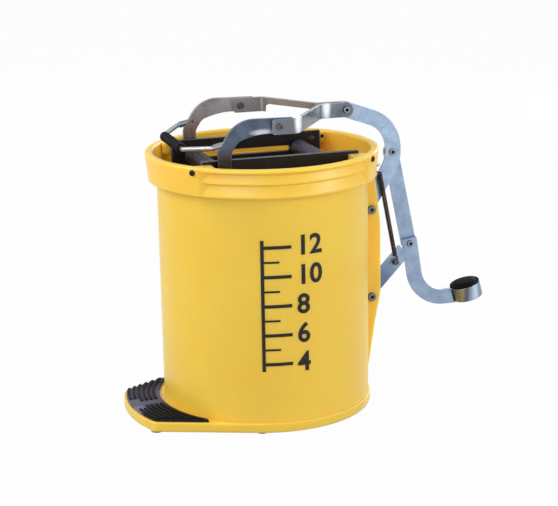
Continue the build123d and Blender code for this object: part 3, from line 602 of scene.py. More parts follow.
YELLOW = MouldedPlastic("yellow_plastic", (0.89, 0.550, 0.062), (0.87, 0.515, 0.054), (0.91, 0.62, 0.12))
# The pale grey edge colour of the side plates is mostly a painted highlight along their top edges, partly
# wear.
BLACK_PAINT = BlackCoat(
    "black_painted_steel", (0.0035, 0.003, 0.004), (0.010, 0.009, 0.012),
    roughness=0.40, grain_scale=240.0, grain_depth=0.00006, worn=(0.30, 0.31, 0.36), edge_r=0.0016,
)
# The bluish dust and edge colours are partly painted highlight on the rollers, partly dust and wear.
BLACK_PLASTIC = BlackCoat(
    "black_plastic", (0.005, 0.006, 0.014), (0.014, 0.017, 0.034),
    roughness=0.30, grain_scale=380.0, grain_depth=0.00004, specular=0.45, worn=(0.038, 0.043, 0.066),
)
PAD_RUBBER = BlackCoat(
    "pad_rubber", (0.004, 0.0035, 0.006), (0.008, 0.0075, 0.012),
    roughness=0.62, grain_scale=520.0, grain_depth=0.00008, specular=0.04, worn=(0.012, 0.012, 0.016),
)
BLACK_RUBBER = BlackCoat(
    "black_rubber", (0.004, 0.0035, 0.005), (0.009, 0.0085, 0.012),
    roughness=0.56, grain_scale=520.0, grain_depth=0.00008, specular=0.10, worn=(0.014, 0.014, 0.017),
)
BLACK_SCREW = BlackCoat(
    "black_oxide_screw", (0.002, 0.002, 0.002), (0.006, 0.006, 0.006),
    roughness=0.45, grain_scale=500.0, grain_depth=0.00003, specular=0.2, worn=(0.018, 0.018, 0.020),
)
SCALE_INK = BlackCoat(
    "scale_ink", (0.004, 0.0035, 0.0035), (0.010, 0.009, 0.008),
    roughness=0.46, grain_scale=600.0, grain_depth=0.00002, worn=(0.010, 0.009, 0.008),
)
# Painted light on the front arm: painted shade on its lower part and a painted highlight streak along the
# bend.
FRONT_ARM_PAINTED_LIGHT = (
    Patch((-0.131, -0.088, 0.332), (0.060, 1.0, 0.036), (0.055, 0.053, 0.064), 0.9),
    Patch((-0.0845, -0.088, 0.3735), (0.018, 1.0, 0.0050), (0.66, 0.72, 0.80), 0.75),
)
# Painted reflection on the rear arm: its lower part darker and warmer.
REAR_ARM_PAINTED_REFLECTION = (Patch((-0.131, 0.084, 0.335), (0.060, 1.0, 0.040), (0.27, 0.17, 0.16), 0.9),)
# Painted light on the front yoke leg: painted shade over the tab and painted highlights at its two bends.
FRONT_YOKE_PAINTED_LIGHT = (
    Patch((-0.0500, -0.09, 0.38), (0.040, 1.0, 1.0), (0.16, 0.18, 0.21), 0.85),
    Patch((-0.0375, -0.09, 0.388), (0.0080, 1.0, 0.030), (0.95, 0.97, 1.0), 1.0),
    Patch((0.0262, -0.012, 0.388), (0.0065, 1.0, 0.030), (0.95, 0.97, 1.0), 1.0),
)
# The rear yoke leg is painted brown as a painted reflection; this patch gives its tab the grey of the arm.
REAR_YOKE_TAB_TONE = (Patch((-0.0550, 0.082, 0.38), (0.034, 1.0, 1.0), (0.30, 0.30, 0.33), 0.95),)
# Painted shade on the pedal lever's leg.
LEVER_PAINTED_SHADE = (Patch((0.0980, 0.0, 0.1420), (0.040, 1.0, 0.040), (0.12, 0.165, 0.265), 0.95),)
CRANK_STRIP = ZincPlate("pale_blue_zinc_strip", Tone.PALE_BLUE)
LEVER_STRIP = ZincPlate("blue_zinc_strip", Tone.BLUE, roughness=0.38, patches=LEVER_PAINTED_SHADE)
FRONT_ARM_STRIP = ZincPlate(
    "deep_blue_zinc_strip", Tone.DEEP_BLUE,
    roughness=0.36, cloud_scale=34.0, rolling=(2.0, 1.0, 1.0), edge_gain=1.6, patches=FRONT_ARM_PAINTED_LIGHT,
)
REAR_ARM_STRIP = ZincPlate(
    "grey_zinc_strip", Tone.GREY, roughness=0.40, cloud_scale=40.0, patches=REAR_ARM_PAINTED_REFLECTION
)
FRONT_YOKE_STRIP = ZincPlate(
    "silver_zinc_strip", Tone.SILVER,
    roughness=0.26, cloud_scale=38.0, edge_gain=1.7, patches=FRONT_YOKE_PAINTED_LIGHT,
)
REAR_YOKE_STRIP = ZincPlate(
    "brown_reflection_zinc_strip", Tone.BROWN, roughness=0.36, cloud_scale=45.0, patches=REAR_YOKE_TAB_TONE
)
# Painted reflections on the pedal cup: an olive band for the yellow bucket, a dark band and a bright
# highlight.
CUP_PAINTED_REFLECTIONS = (
    Patch((0.2105, 0.0, 0.12), (0.0085, 1.0, 1.0), (0.24, 0.20, 0.085), 0.85),
    Patch((0.2175, 0.0, 0.12), (0.0045, 1.0, 1.0), (0.11, 0.085, 0.09), 0.85),
    Patch((0.2296, 0.0, 0.12), (0.0065, 1.0, 1.0), (0.44, 0.54, 0.68), 0.9),
)
CUP_STEEL = ZincPlate(
    "dull_cup_steel", Tone.STEEL, roughness=0.30, cloud_scale=24.0, rolling=(1.0, 1.0, 9.0),
    edge_gain=1.2, grain_depth=0.00001, patches=CUP_PAINTED_REFLECTIONS,
)
BRIGHT_STEEL = TurnedSteel("bright_steel", (0.66, 0.66, 0.69), 0.20, (0.38, 0.38, 0.40))
# Painted shade, darker and bluer, on the bail's rear strut.
BAIL_PAINTED_SHADE = (Patch((-0.145, 0.078, 0.360), (0.060, 0.060, 1.0), (0.26, 0.31, 0.38), 0.9),)
BAIL_STEEL = TurnedSteel("bail_steel", (0.34, 0.34, 0.365), 0.36, (0.24, 0.24, 0.265), BAIL_PAINTED_SHADE)
CLIP_STEEL = TurnedSteel("clip_steel", (0.30, 0.29, 0.28), 0.32, (0.10, 0.09, 0.08))
BOLT_STEEL = TurnedSteel("bolt_steel", (0.13, 0.12, 0.11), 0.30, (0.035, 0.03, 0.028))
WELD_STEEL = TurnedSteel("burnt_weld", (0.045, 0.038, 0.036), 0.42, (0.015, 0.012, 0.011))
# Painted highlight, near white, on the spring's top hook.
HOOK_PAINTED_HIGHLIGHT = (Patch((0.0958, -0.0055, 0.3035), (0.008, 1.0, 0.008), (0.78, 0.76, 0.74), 0.95),)
OILED_STEEL = TurnedSteel("oiled_steel", (0.060, 0.042, 0.034), 0.36, (0.022, 0.015, 0.012), HOOK_PAINTED_HIGHLIGHT)


class Finishes:
    """Materials that were built once and are shared by the pieces."""

    def __init__(self) -> None:
        """Starts with no materials."""
        self.made: dict[str, bpy.types.Material] = {}

    def dress(self, piece: Piece, finish: Finish) -> None:
        """Gives a piece a finish.

        Args:
            piece: Object to dress.
            finish: One of the finish dataclasses.
        """
        if finish.name not in self.made:
            sheet = ShaderSheet(finish.name)
            finish.paint(sheet)
            self.made[finish.name] = sheet.material
        piece.data.materials.clear()
        piece.data.materials.append(self.made[finish.name])

    def dress_nodes(self, finish: Finish, *nodes: str) -> None:
        """Gives CAD nodes a finish.

        Args:
            finish: One of the finish dataclasses.
            nodes: Names of the nodes.
        """
        for node in nodes:
            self.dress(frame["nodes"][node], finish)
            LOG.info("%s: %s", node, finish.name)

    def dress_pins(self, hollow_r: float, rim_r: float, land: Colour, *nodes: str) -> None:
        """Gives pins along Y heads with painted shade in their hollow.

        Args:
            hollow_r: Radius of the hollow.
            rim_r: Radius of the head.
            land: Linear colour of the head round the hollow.
            nodes: Names of the pins' nodes.
        """
        for node in nodes:
            low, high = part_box(node)
            centre = tuple((low + high) / 2)
            self.dress_nodes(RivetHead(f"{node}_steel", centre, hollow_r, rim_r, land), node)

    def fit(self, piece: Piece, finish: Finish, slot: str, body: str, replaced: str | None = None) -> None:
        """Dresses a new piece and lets it ride on a body.

        Args:
            piece: Finished piece in its place.
            finish: One of the finish dataclasses.
            slot: Material slot of the record; not used.
            body: Body that carries the piece.
            replaced: CAD node that the piece stands for, if any.
        """
        self.dress(piece, finish)
        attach(piece, body)
        if replaced:
            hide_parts(replaced)
        LOG.info("%s: %d faces, %s", piece.name, len(piece.data.polygons), finish.name)


@dataclass
class Bucket:
    """Yellow moulding with a printed litre scale on its front."""

    finishes: Finishes
    axis_x: float = BUCKET_AXIS_X
    wall_r: float = 0.1346
    inner_r: float = 0.1309
    floor_z: float = 0.016
    scale_angle: float = math.radians(-91.0)
    scale_left: float = -0.036
    numeral_h: float = 0.024
    numeral_gap: float = 0.006
    numeral_cap_share: float = 0.7
    numeral_boldness: float = 0.035
    numbered: tuple[int, ...] = (4, 6, 8, 10, 12)
    long_tick: tuple[float, float] = (0.034, 0.0042)
    short_tick: tuple[float, float] = (0.019, 0.0026)
    stem: tuple[float, float, float] = (0.0042, 3.5, 12.5)
    tick_overlap: float = 0.0005
    print_proud: float = 0.00022
    print_t: float = 0.0004
    tread_rise: float = 0.0029
    rib_rise: float = 0.0009
    foot_r: float = 0.0074
    foot_h: float = 0.0010
    foot_places: tuple[tuple[float, float], ...] = (
        (-0.1735, 0.0475), (-0.1655, -0.0715), (-0.042, 0.120),
        (-0.042, -0.120), (0.104, 0.073), (0.104, -0.073),
    )

    def litre_z(self, litres: float) -> float:
        """Height of the water when the bucket holds so many litres."""
        return self.floor_z + litres / 1000 / (math.pi * self.inner_r**2)

    @property
    def scale_x(self) -> float:
        """Place of the scale's centre line along the row's X axis."""
        return self.axis_x + self.wall_r * math.cos(self.scale_angle)

    def bar(self, name: str, left: float, width: float, low: float, height: float) -> Piece:
        """Flat bar of the scale, standing in front of the wall.

        Args:
            name: Name of the piece.
            left: Distance of its left end from the scale's centre line.
            width: Its width.
            low: Height of its lower edge.
            height: Its height.

        Returns:
            The bar's mesh object.
        """
        deselect_all()
        bpy.ops.mesh.primitive_plane_add(size=1.0)
        bar = bpy.context.object
        bar.name = name
        with editing():
            bpy.ops.mesh.subdivide(number_cuts=15)
        centre = Vector((self.scale_x + left + width / 2, -2 * self.wall_r, low + height / 2))
        turn = Matrix.Rotation(math.pi / 2, 4, "X")
        settle(bar, Matrix.Translation(centre) @ turn @ Matrix.Diagonal((width, height, 1.0, 1.0)))
        return bar

    def numeral(self, litres: int, left: float) -> Piece:
        """Bold number beside a long tick.

        Args:
            litres: The number.
            left: Distance of its left edge from the scale's centre line.

        Returns:
            The number's mesh object.
        """
        deselect_all()
        bpy.ops.object.text_add()
        text = bpy.context.object
        text.data.body = str(litres)
        text.data.size = self.numeral_h / self.numeral_cap_share
        text.data.offset = self.numeral_boldness * self.numeral_h
        text.data.align_y = "CENTER"
        bpy.ops.object.convert(target="MESH")
        number = bpy.context.object
        number.name = f"litre_number_{litres}"
        with editing():
            bpy.ops.mesh.select_all(action="SELECT")
            bpy.ops.mesh.remove_doubles(threshold=1e-6)
            bpy.ops.mesh.quads_convert_to_tris()
            bpy.ops.mesh.subdivide(number_cuts=3)
        place = Vector((self.scale_x + left, -2 * self.wall_r, self.litre_z(litres)))
        settle(number, Matrix.Translation(place) @ Matrix.Rotation(math.pi / 2, 4, "X"))
        return number

    def lay_on_wall(self, flat: Piece) -> None:
        """Wraps a flat print onto the wall and gives it the thickness of ink.

        Args:
            flat: Flat mesh in front of the wall.
        """
        wrap = flat.modifiers.new("wrap", "SHRINKWRAP")
        wrap.target = frame["nodes"]["bucket"]
        wrap.wrap_method = "PROJECT"
        wrap.use_project_y = True
        wrap.use_positive_direction = True
        wrap.use_negative_direction = False
        wrap.offset = self.print_proud
        film = flat.modifiers.new("film", "SOLIDIFY")
        film.thickness = self.print_t
        film.offset = -1.0
        apply_modifiers(flat)

    def feet(self) -> list[Piece]:
        """Flared rubber feet with a hollow sole.

        Returns:
            The feet's mesh objects.
        """
        r, h = self.foot_r, self.foot_h
        outline = [(0.45 * r, 0.4 * h), (0.60 * r, 0.0), (0.90 * r, 0.0), (r, 0.3 * h)]
        outline += [(r, 0.75 * h), (0.92 * r, h), (0.4 * r, h)]
        pattern = turned("rubber_foot", 36, outline)
        smooth(pattern, 0)
        places = {}
        for number, (x, y) in enumerate(self.foot_places, 1):
            places[f"rubber_foot_{number}"] = Matrix.Translation((self.axis_x + x, y, 0.0))
        return copies(pattern, places)

    def build(self) -> None:
        """Makes the feet and prints the scale."""
        for foot in self.feet():
            self.finishes.fit(foot, BLACK_RUBBER, "black_rubber", "bucket", "rubber_feet")
        self.print_scale()

    def print_scale(self) -> None:
        """Prints the stem, the ticks and the numbers as one piece."""
        stem_w, stem_low, stem_high = self.stem
        low = self.litre_z(stem_low)
        left = self.scale_left
        prints = [self.bar("scale_stem", left - stem_w, stem_w, low, self.litre_z(stem_high) - low)]
        for litres in range(self.numbered[0], self.numbered[-1] + 1):
            bold = litres in self.numbered
            length, height = self.long_tick if bold else self.short_tick
            tick_low = self.litre_z(litres) - height / 2
            tick_left = left - self.tick_overlap
            prints.append(self.bar(f"scale_tick_{litres}", tick_left, length, tick_low, height))
            if bold:
                prints.append(self.numeral(litres, left + length + self.numeral_gap))
        for piece in prints:
            self.lay_on_wall(piece)
        make_active(prints[0])
        for piece in prints:
            piece.select_set(True)
        bpy.ops.object.join()
        scale = bpy.context.object
        scale.name = "litre_scale"
        self.finishes.fit(scale, SCALE_INK, "black_plastic", "bucket")

    def dress(self) -> None:
        """Dresses the moulding and its tread."""
        self.finishes.dress_nodes(YELLOW, "bucket")
        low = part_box("foot_tread")[0]
        groove_z = low.z + self.tread_rise
        ribs, dust = (0.0035, 0.003, 0.0045), (0.013, 0.012, 0.016)
        # Listed patches where the grooves are paler and bluer.
        trodden = (
            Patch((low.x + 0.012, 0.020, groove_z), (0.062, 0.058, 1.0), (0.15, 0.15, 0.23), 0.9),
            Patch((low.x + 0.006, -0.030, groove_z), (0.018, 0.020, 1.0), (0.19, 0.20, 0.33), 0.85),
        )
        tread = RibbedRubber("tread_rubber", ribs, dust, groove_z, groove_z + self.rib_rise, trodden)
        self.finishes.dress_nodes(tread, "foot_tread")


@dataclass
class Wringer:
    """Side plates, rollers and the hardware that holds them."""

    finishes: Finishes
    axis_x: float = BUCKET_AXIS_X
    screw_angles: tuple[float, ...] = (39.0, -39.0, 141.0, 219.0)
    screw_seat_r: float = 0.1490
    screw_z: float = 0.3312
    head_r: float = 0.0037
    head_t: float = 0.0024
    recess: Point = (0.0011, 0.0044, 0.0013)
    lug_x: float = 0.1076
    lug_y: float = 0.0785
    lug_screw_share: float = 0.62
    clip_t: float = 0.0014
    clip_inner_r: float = 0.0026
    clip_waist_r: float = 0.0036
    clip_outer_r: float = 0.0055
    clip_mouth: float = math.radians(74.0)
    clip_land: float = math.radians(16.0)
    clip_sides: int = 60

    def screw(self) -> Piece:
        """Pan head screw with a cross recess, about its seat.

        Returns:
            The screw's mesh object.
        """
        r, t = self.head_r, self.head_t
        outline = [(0.4 * r, -t), (0.4 * r, -0.1 * t), (r, -0.1 * t), (r, 0.30 * t)]
        outline += [(0.94 * r, 0.62 * t), (0.78 * r, 0.86 * t), (0.52 * r, t)]
        head = turned("screw", 40, outline)
        width, length, depth = self.recess
        for turn in (0.0, math.pi / 2):
            deselect_all()
            bpy.ops.mesh.primitive_cube_add(size=1.0)
            cutter = bpy.context.object
            spin = Matrix.Rotation(turn, 4, "Z")
            lift = Matrix.Translation((0.0, 0.0, t))
            settle(cutter, lift @ spin @ Matrix.Diagonal((width, length, 2 * depth, 1.0)))
            cut = head.modifiers.new("recess", "BOOLEAN")
            cut.object = cutter
            cut.operation = "DIFFERENCE"
            apply_modifiers(head)
            remove(cutter)
        smooth(head, 0)
        return head

    def screw_places(self) -> dict[str, Matrix]:
        """Places of the screws: four round the rim band and a small one on each right lug.

        Returns:
            Matrix from the screw's frame to the row frame, by name.
        """
        places = {}
        up = Vector((0.0, 0.0, 1.0))
        for number, angle in enumerate(self.screw_angles, 1):
            turn = math.radians(angle)
            out = Vector((math.cos(turn), math.sin(turn), 0.0))
            seat = Vector((self.axis_x, 0.0, self.screw_z)) + out * self.screw_seat_r
            places[f"plate_screw_{number}"] = standing(seat, out, up)
        for side, y in (("front", -self.lug_y), ("rear", self.lug_y)):
            inward = Vector((0.0, -math.copysign(1.0, y), 0.0))
            seat = Vector((self.axis_x + self.lug_x, y, self.screw_z))
            places[f"{side}_lug_screw"] = standing(seat, inward, up) @ Matrix.Scale(self.lug_screw_share, 4)
        return places

    def clip(self) -> Piece:
        """Open retaining clip with three lands that grip the axle's groove, mouth to +X.

        Returns:
            The clip's mesh object.
        """
        deselect_all()
        bpy.ops.mesh.primitive_circle_add(vertices=self.clip_sides, radius=self.clip_inner_r)
        clip = bpy.context.object
        clip.name = "clip"
        with editing():
            bpy.ops.mesh.select_all(action="SELECT")
            bpy.ops.mesh.extrude_region_move()
            grow = self.clip_outer_r / self.clip_inner_r
            bpy.ops.transform.resize(value=(grow, grow, 1.0), center_override=(0.0, 0.0, 0.0))
        for face in clip.data.polygons:
            spot = face.center
            face.select = abs(math.atan2(spot.y, spot.x)) < self.clip_mouth / 2
        with editing():
            bpy.ops.mesh.select_mode(type="FACE")
            bpy.ops.mesh.delete(type="FACE")
            bpy.ops.mesh.select_mode(type="VERT")
        self.relieve(clip)
        sheet = clip.modifiers.new("sheet", "SOLIDIFY")
        sheet.thickness = self.clip_t
        sheet.offset = 0.0
        edge = clip.modifiers.new("edge", "BEVEL")
        edge.width = 0.12 * self.clip_t
        edge.segments = 2
        apply_modifiers(clip)
        smooth(clip, 0)
        return clip

    def clip_places(self, axle: str, mouth: Mouth) -> dict[str, Matrix]:
        """Places of the two clips on an axle.

        Args:
            axle: Name of the axle's node.
            mouth: Way that the open side looks.

        Returns:
            Matrix from the clip's frame to the row frame, by name.
        """
        places = {}
        turn = math.radians(mouth.value)
        way = Vector((math.cos(turn), 0.0, math.sin(turn)))
        low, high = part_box(f"{axle}_clips")
        for side, face in (("front", low.y), ("rear", high.y)):
            centre = (low + high) / 2
            centre.y = face - math.copysign(self.clip_t / 2, face)
            places[f"{side}_{axle}_clip"] = standing(centre, Vector((0.0, -1.0, 0.0)), way)
        return places

    def relieve(self, clip: Piece) -> None:
        """Draws the inner edge of a flat clip out between its three lands.

        Args:
            clip: The flat clip's mesh object.
        """
        with editing():
            bpy.ops.mesh.select_all(action="DESELECT")
        side_land = self.clip_mouth / 2 + self.clip_land
        lands = (math.pi, side_land, -side_land)
        for corner in clip.data.vertices:
            angle = math.atan2(corner.co.y, corner.co.x)
            inner = corner.co.length < (self.clip_inner_r + self.clip_outer_r) / 2
            clear = all(math.cos(angle - middle) < math.cos(self.clip_land) for middle in lands)
            corner.select = inner and clear
        with editing():
            grow = self.clip_waist_r / self.clip_inner_r
            bpy.ops.transform.resize(value=(grow, grow, 1.0), center_override=(0.0, 0.0, 0.0))

    def build(self) -> None:
        """Makes the screw heads and the clips."""
        for screw in copies(self.screw(), self.screw_places()):
            self.finishes.fit(screw, BLACK_SCREW, "black_steel", "bucket", "plate_screws")
        fixed = self.clip_places("fixed_axle", Mouth.REAR_DOWN)
        moving = self.clip_places("moving_axle", Mouth.DOWN)
        for clip in copies(self.clip(), fixed | moving):
            body, axle = ("bucket", "fixed_axle") if clip.name in fixed else ("carriage", "moving_axle")
            self.finishes.fit(clip, CLIP_STEEL, "zinc_steel", body, f"{axle}_clips")

    def dress(self) -> None:
        """Dresses the plates, rollers and axles."""
        self.finishes.dress_nodes(BLACK_PAINT, "front_side_plate", "rear_side_plate")
        self.finishes.dress_nodes(BLACK_PLASTIC, "moving_roller", "fixed_roller")
        self.finishes.dress_nodes(BRIGHT_STEEL, "fixed_axle", "moving_axle")


@dataclass
class Linkage:
    """Crank, link, pedal lever and their pins, with the pedal's cup and pad."""

    finishes: Finishes
    cup_centre: Point = (0.227146, 0.0, 0.1115)
    cup_tilt: float = math.radians(15.0)
    cup_r: float = 0.0203
    cup_h: float = 0.0195
    plug_r: float = 0.0176
    pad_edge_h: float = 0.0020
    pad_crown_h: float = 0.0050
    lever_half_t: float = 0.0025
    bead_r: float = 0.0013
    bead_l: float = 0.0172
    bead_ripples: int = 11
    pivot_hollow_r: float = 0.0022
    pivot_rim_r: float = 0.0056
    pivot_land: Colour = (0.19, 0.17, 0.19)
    link_hollow_r: float = 0.0021
    link_rim_r: float = 0.0046
    link_land: Colour = (0.27, 0.30, 0.35)

    @property
    def cup_up(self) -> Vector:
        """Way that the pedal's cup looks."""
        return Vector((-math.sin(self.cup_tilt), 0.0, math.cos(self.cup_tilt)))

    @property
    def cup_side(self) -> Vector:
        """Way from the lever to the pedal's tip, in the plane of the cup's rim."""
        return Vector((math.cos(self.cup_tilt), 0.0, math.sin(self.cup_tilt)))

    def pad(self) -> Piece:
        """Domed rubber pad with a rolled edge and a ring groove, on the cup's rim.

        Returns:
            The pad's mesh object.
        """
        r, h, edge = self.cup_r, self.cup_h, self.pad_edge_h
        crown = self.pad_crown_h - edge
        outline = [(self.plug_r, 0.5 * h), (self.plug_r, h), (0.97 * r, h), (r, h + 0.25 * edge)]
        outline += [(r, h + 0.75 * edge), (0.97 * r, h + 1.1 * edge)]
        outline += [(0.86 * r, h + 1.28 * edge), (0.84 * r, h + 1.10 * edge), (0.80 * r, h + 1.10 * edge)]
        outline += [(0.78 * r, h + 1.42 * edge)]
        for share in (0.62, 0.42, 0.2, 0.05):
            outline.append((share * r, h + edge + crown * math.sqrt(1 - share**2)))
        pad = turned("pedal_pad_dome", 48, outline)
        smooth(pad, 1)
        settle(pad, standing(Vector(self.cup_centre), self.cup_up, self.cup_side))
        return pad

    def welds(self) -> list[Piece]:
        """Rippled weld beads where the lever meets the cup, in front and at the rear.

        Returns:
            The beads' mesh objects.
        """
        step = self.bead_l / self.bead_ripples
        outline = [(0.35 * self.bead_r, -0.3 * step)]
        for ripple in range(self.bead_ripples):
            outline.append((self.bead_r, (ripple + 0.3) * step))
            outline.append((0.82 * self.bead_r, (ripple + 0.85) * step))
        outline.append((0.35 * self.bead_r, self.bead_l + 0.3 * step))
        pattern = turned("weld", 12, outline)
        smooth(pattern, 1, math.pi)
        reach = math.sqrt(self.cup_r**2 - self.lever_half_t**2)
        foot = Vector(self.cup_centre) - self.cup_side * (reach + 0.3 * self.bead_r)
        foot += self.cup_up * (self.cup_h - self.bead_l) / 2
        aside = Vector((0.0, self.lever_half_t + 0.35 * self.bead_r, 0.0))
        places = {
            "front_cup_weld": standing(foot - aside, self.cup_up, self.cup_side),
            "rear_cup_weld": standing(foot + aside, self.cup_up, self.cup_side),
        }
        return copies(pattern, places)

    def build(self) -> None:
        """Makes the pedal's pad and the weld beads."""
        self.finishes.fit(self.pad(), PAD_RUBBER, "black_rubber", "pedal", "pedal_pad")
        for bead in self.welds():
            self.finishes.fit(bead, WELD_STEEL, "dark_steel", "pedal")

    def dress(self) -> None:
        """Dresses the strips, pins and cup."""
        finishes = self.finishes
        finishes.dress_nodes(CRANK_STRIP, "crank")
        finishes.dress_nodes(LEVER_STRIP, "link_strip", "pedal_lever")
        pivots = ("crank_pivot_pin", "pedal_pivot_pin")
        finishes.dress_pins(self.pivot_hollow_r, self.pivot_rim_r, self.pivot_land, *pivots)
        links = ("upper_link_pin", "lower_link_pin", "yoke_pin")
        finishes.dress_pins(self.link_hollow_r, self.link_rim_r, self.link_land, *links)
        finishes.dress_nodes(BOLT_STEEL, "spring_stud", "spring_eye")
        finishes.dress_nodes(BLACK_PLASTIC, "crank_spacers", "pedal_spacers")
        finishes.dress_nodes(CUP_STEEL, "pedal_cup")


@dataclass
class PullFrame:
    """Two arms, the yoke and the grip with its moulded sleeve."""

    finishes: Finishes
    sleeve_r: float = 0.0065
    bore_r: float = 0.0034
    rib_depth: float = 0.0009
    ribs: int = 22
    collar: float = 0.0042

    def sleeve(self) -> Piece:
        """Ribbed grip sleeve with a plain collar at each end.

        Returns:
            The sleeve's mesh object.
        """
        low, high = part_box("grip")
        half = (high.y - low.y) / 2
        r, valley = self.sleeve_r, self.sleeve_r - self.rib_depth
        pitch = 2 * (half - self.collar) / self.ribs
        outline = [(self.bore_r, -half), (0.9 * r, -half), (r, -half + 0.0006), (r, -half + self.collar)]
        for rib in range(self.ribs):
            foot = -half + self.collar + rib * pitch
            outline += [(valley, foot + 0.12 * pitch), (valley, foot + 0.34 * pitch)]
            outline += [(r, foot + 0.52 * pitch), (r, foot + 0.94 * pitch)]
        outline += [(r, half - 0.0006), (0.9 * r, half), (self.bore_r, half)]
        sleeve = turned("grip_sleeve", 40, outline)
        smooth(sleeve, 1, math.radians(50))
        along = Vector((0.0, 1.0, 0.0))
        settle(sleeve, standing((low + high) / 2, along, Vector((1.0, 0.0, 0.0))))
        return sleeve

    def build(self) -> None:
        """Makes the grip's sleeve."""
        self.finishes.fit(self.sleeve(), BLACK_RUBBER, "black_plastic", "pull_frame", "grip")

    def dress(self) -> None:
        """Dresses the arms, yoke legs, fasteners and bail."""
        finishes = self.finishes
        finishes.dress_nodes(FRONT_ARM_STRIP, "front_pull_arm")
        finishes.dress_nodes(REAR_ARM_STRIP, "rear_pull_arm")
        finishes.dress_nodes(FRONT_YOKE_STRIP, "front_yoke_leg")
        finishes.dress_nodes(REAR_YOKE_STRIP, "rear_yoke_leg")
        finishes.dress_nodes(BOLT_STEEL, "yoke_bolts", "grip_rivets")
        finishes.dress_nodes(BAIL_STEEL, "grip_bail")


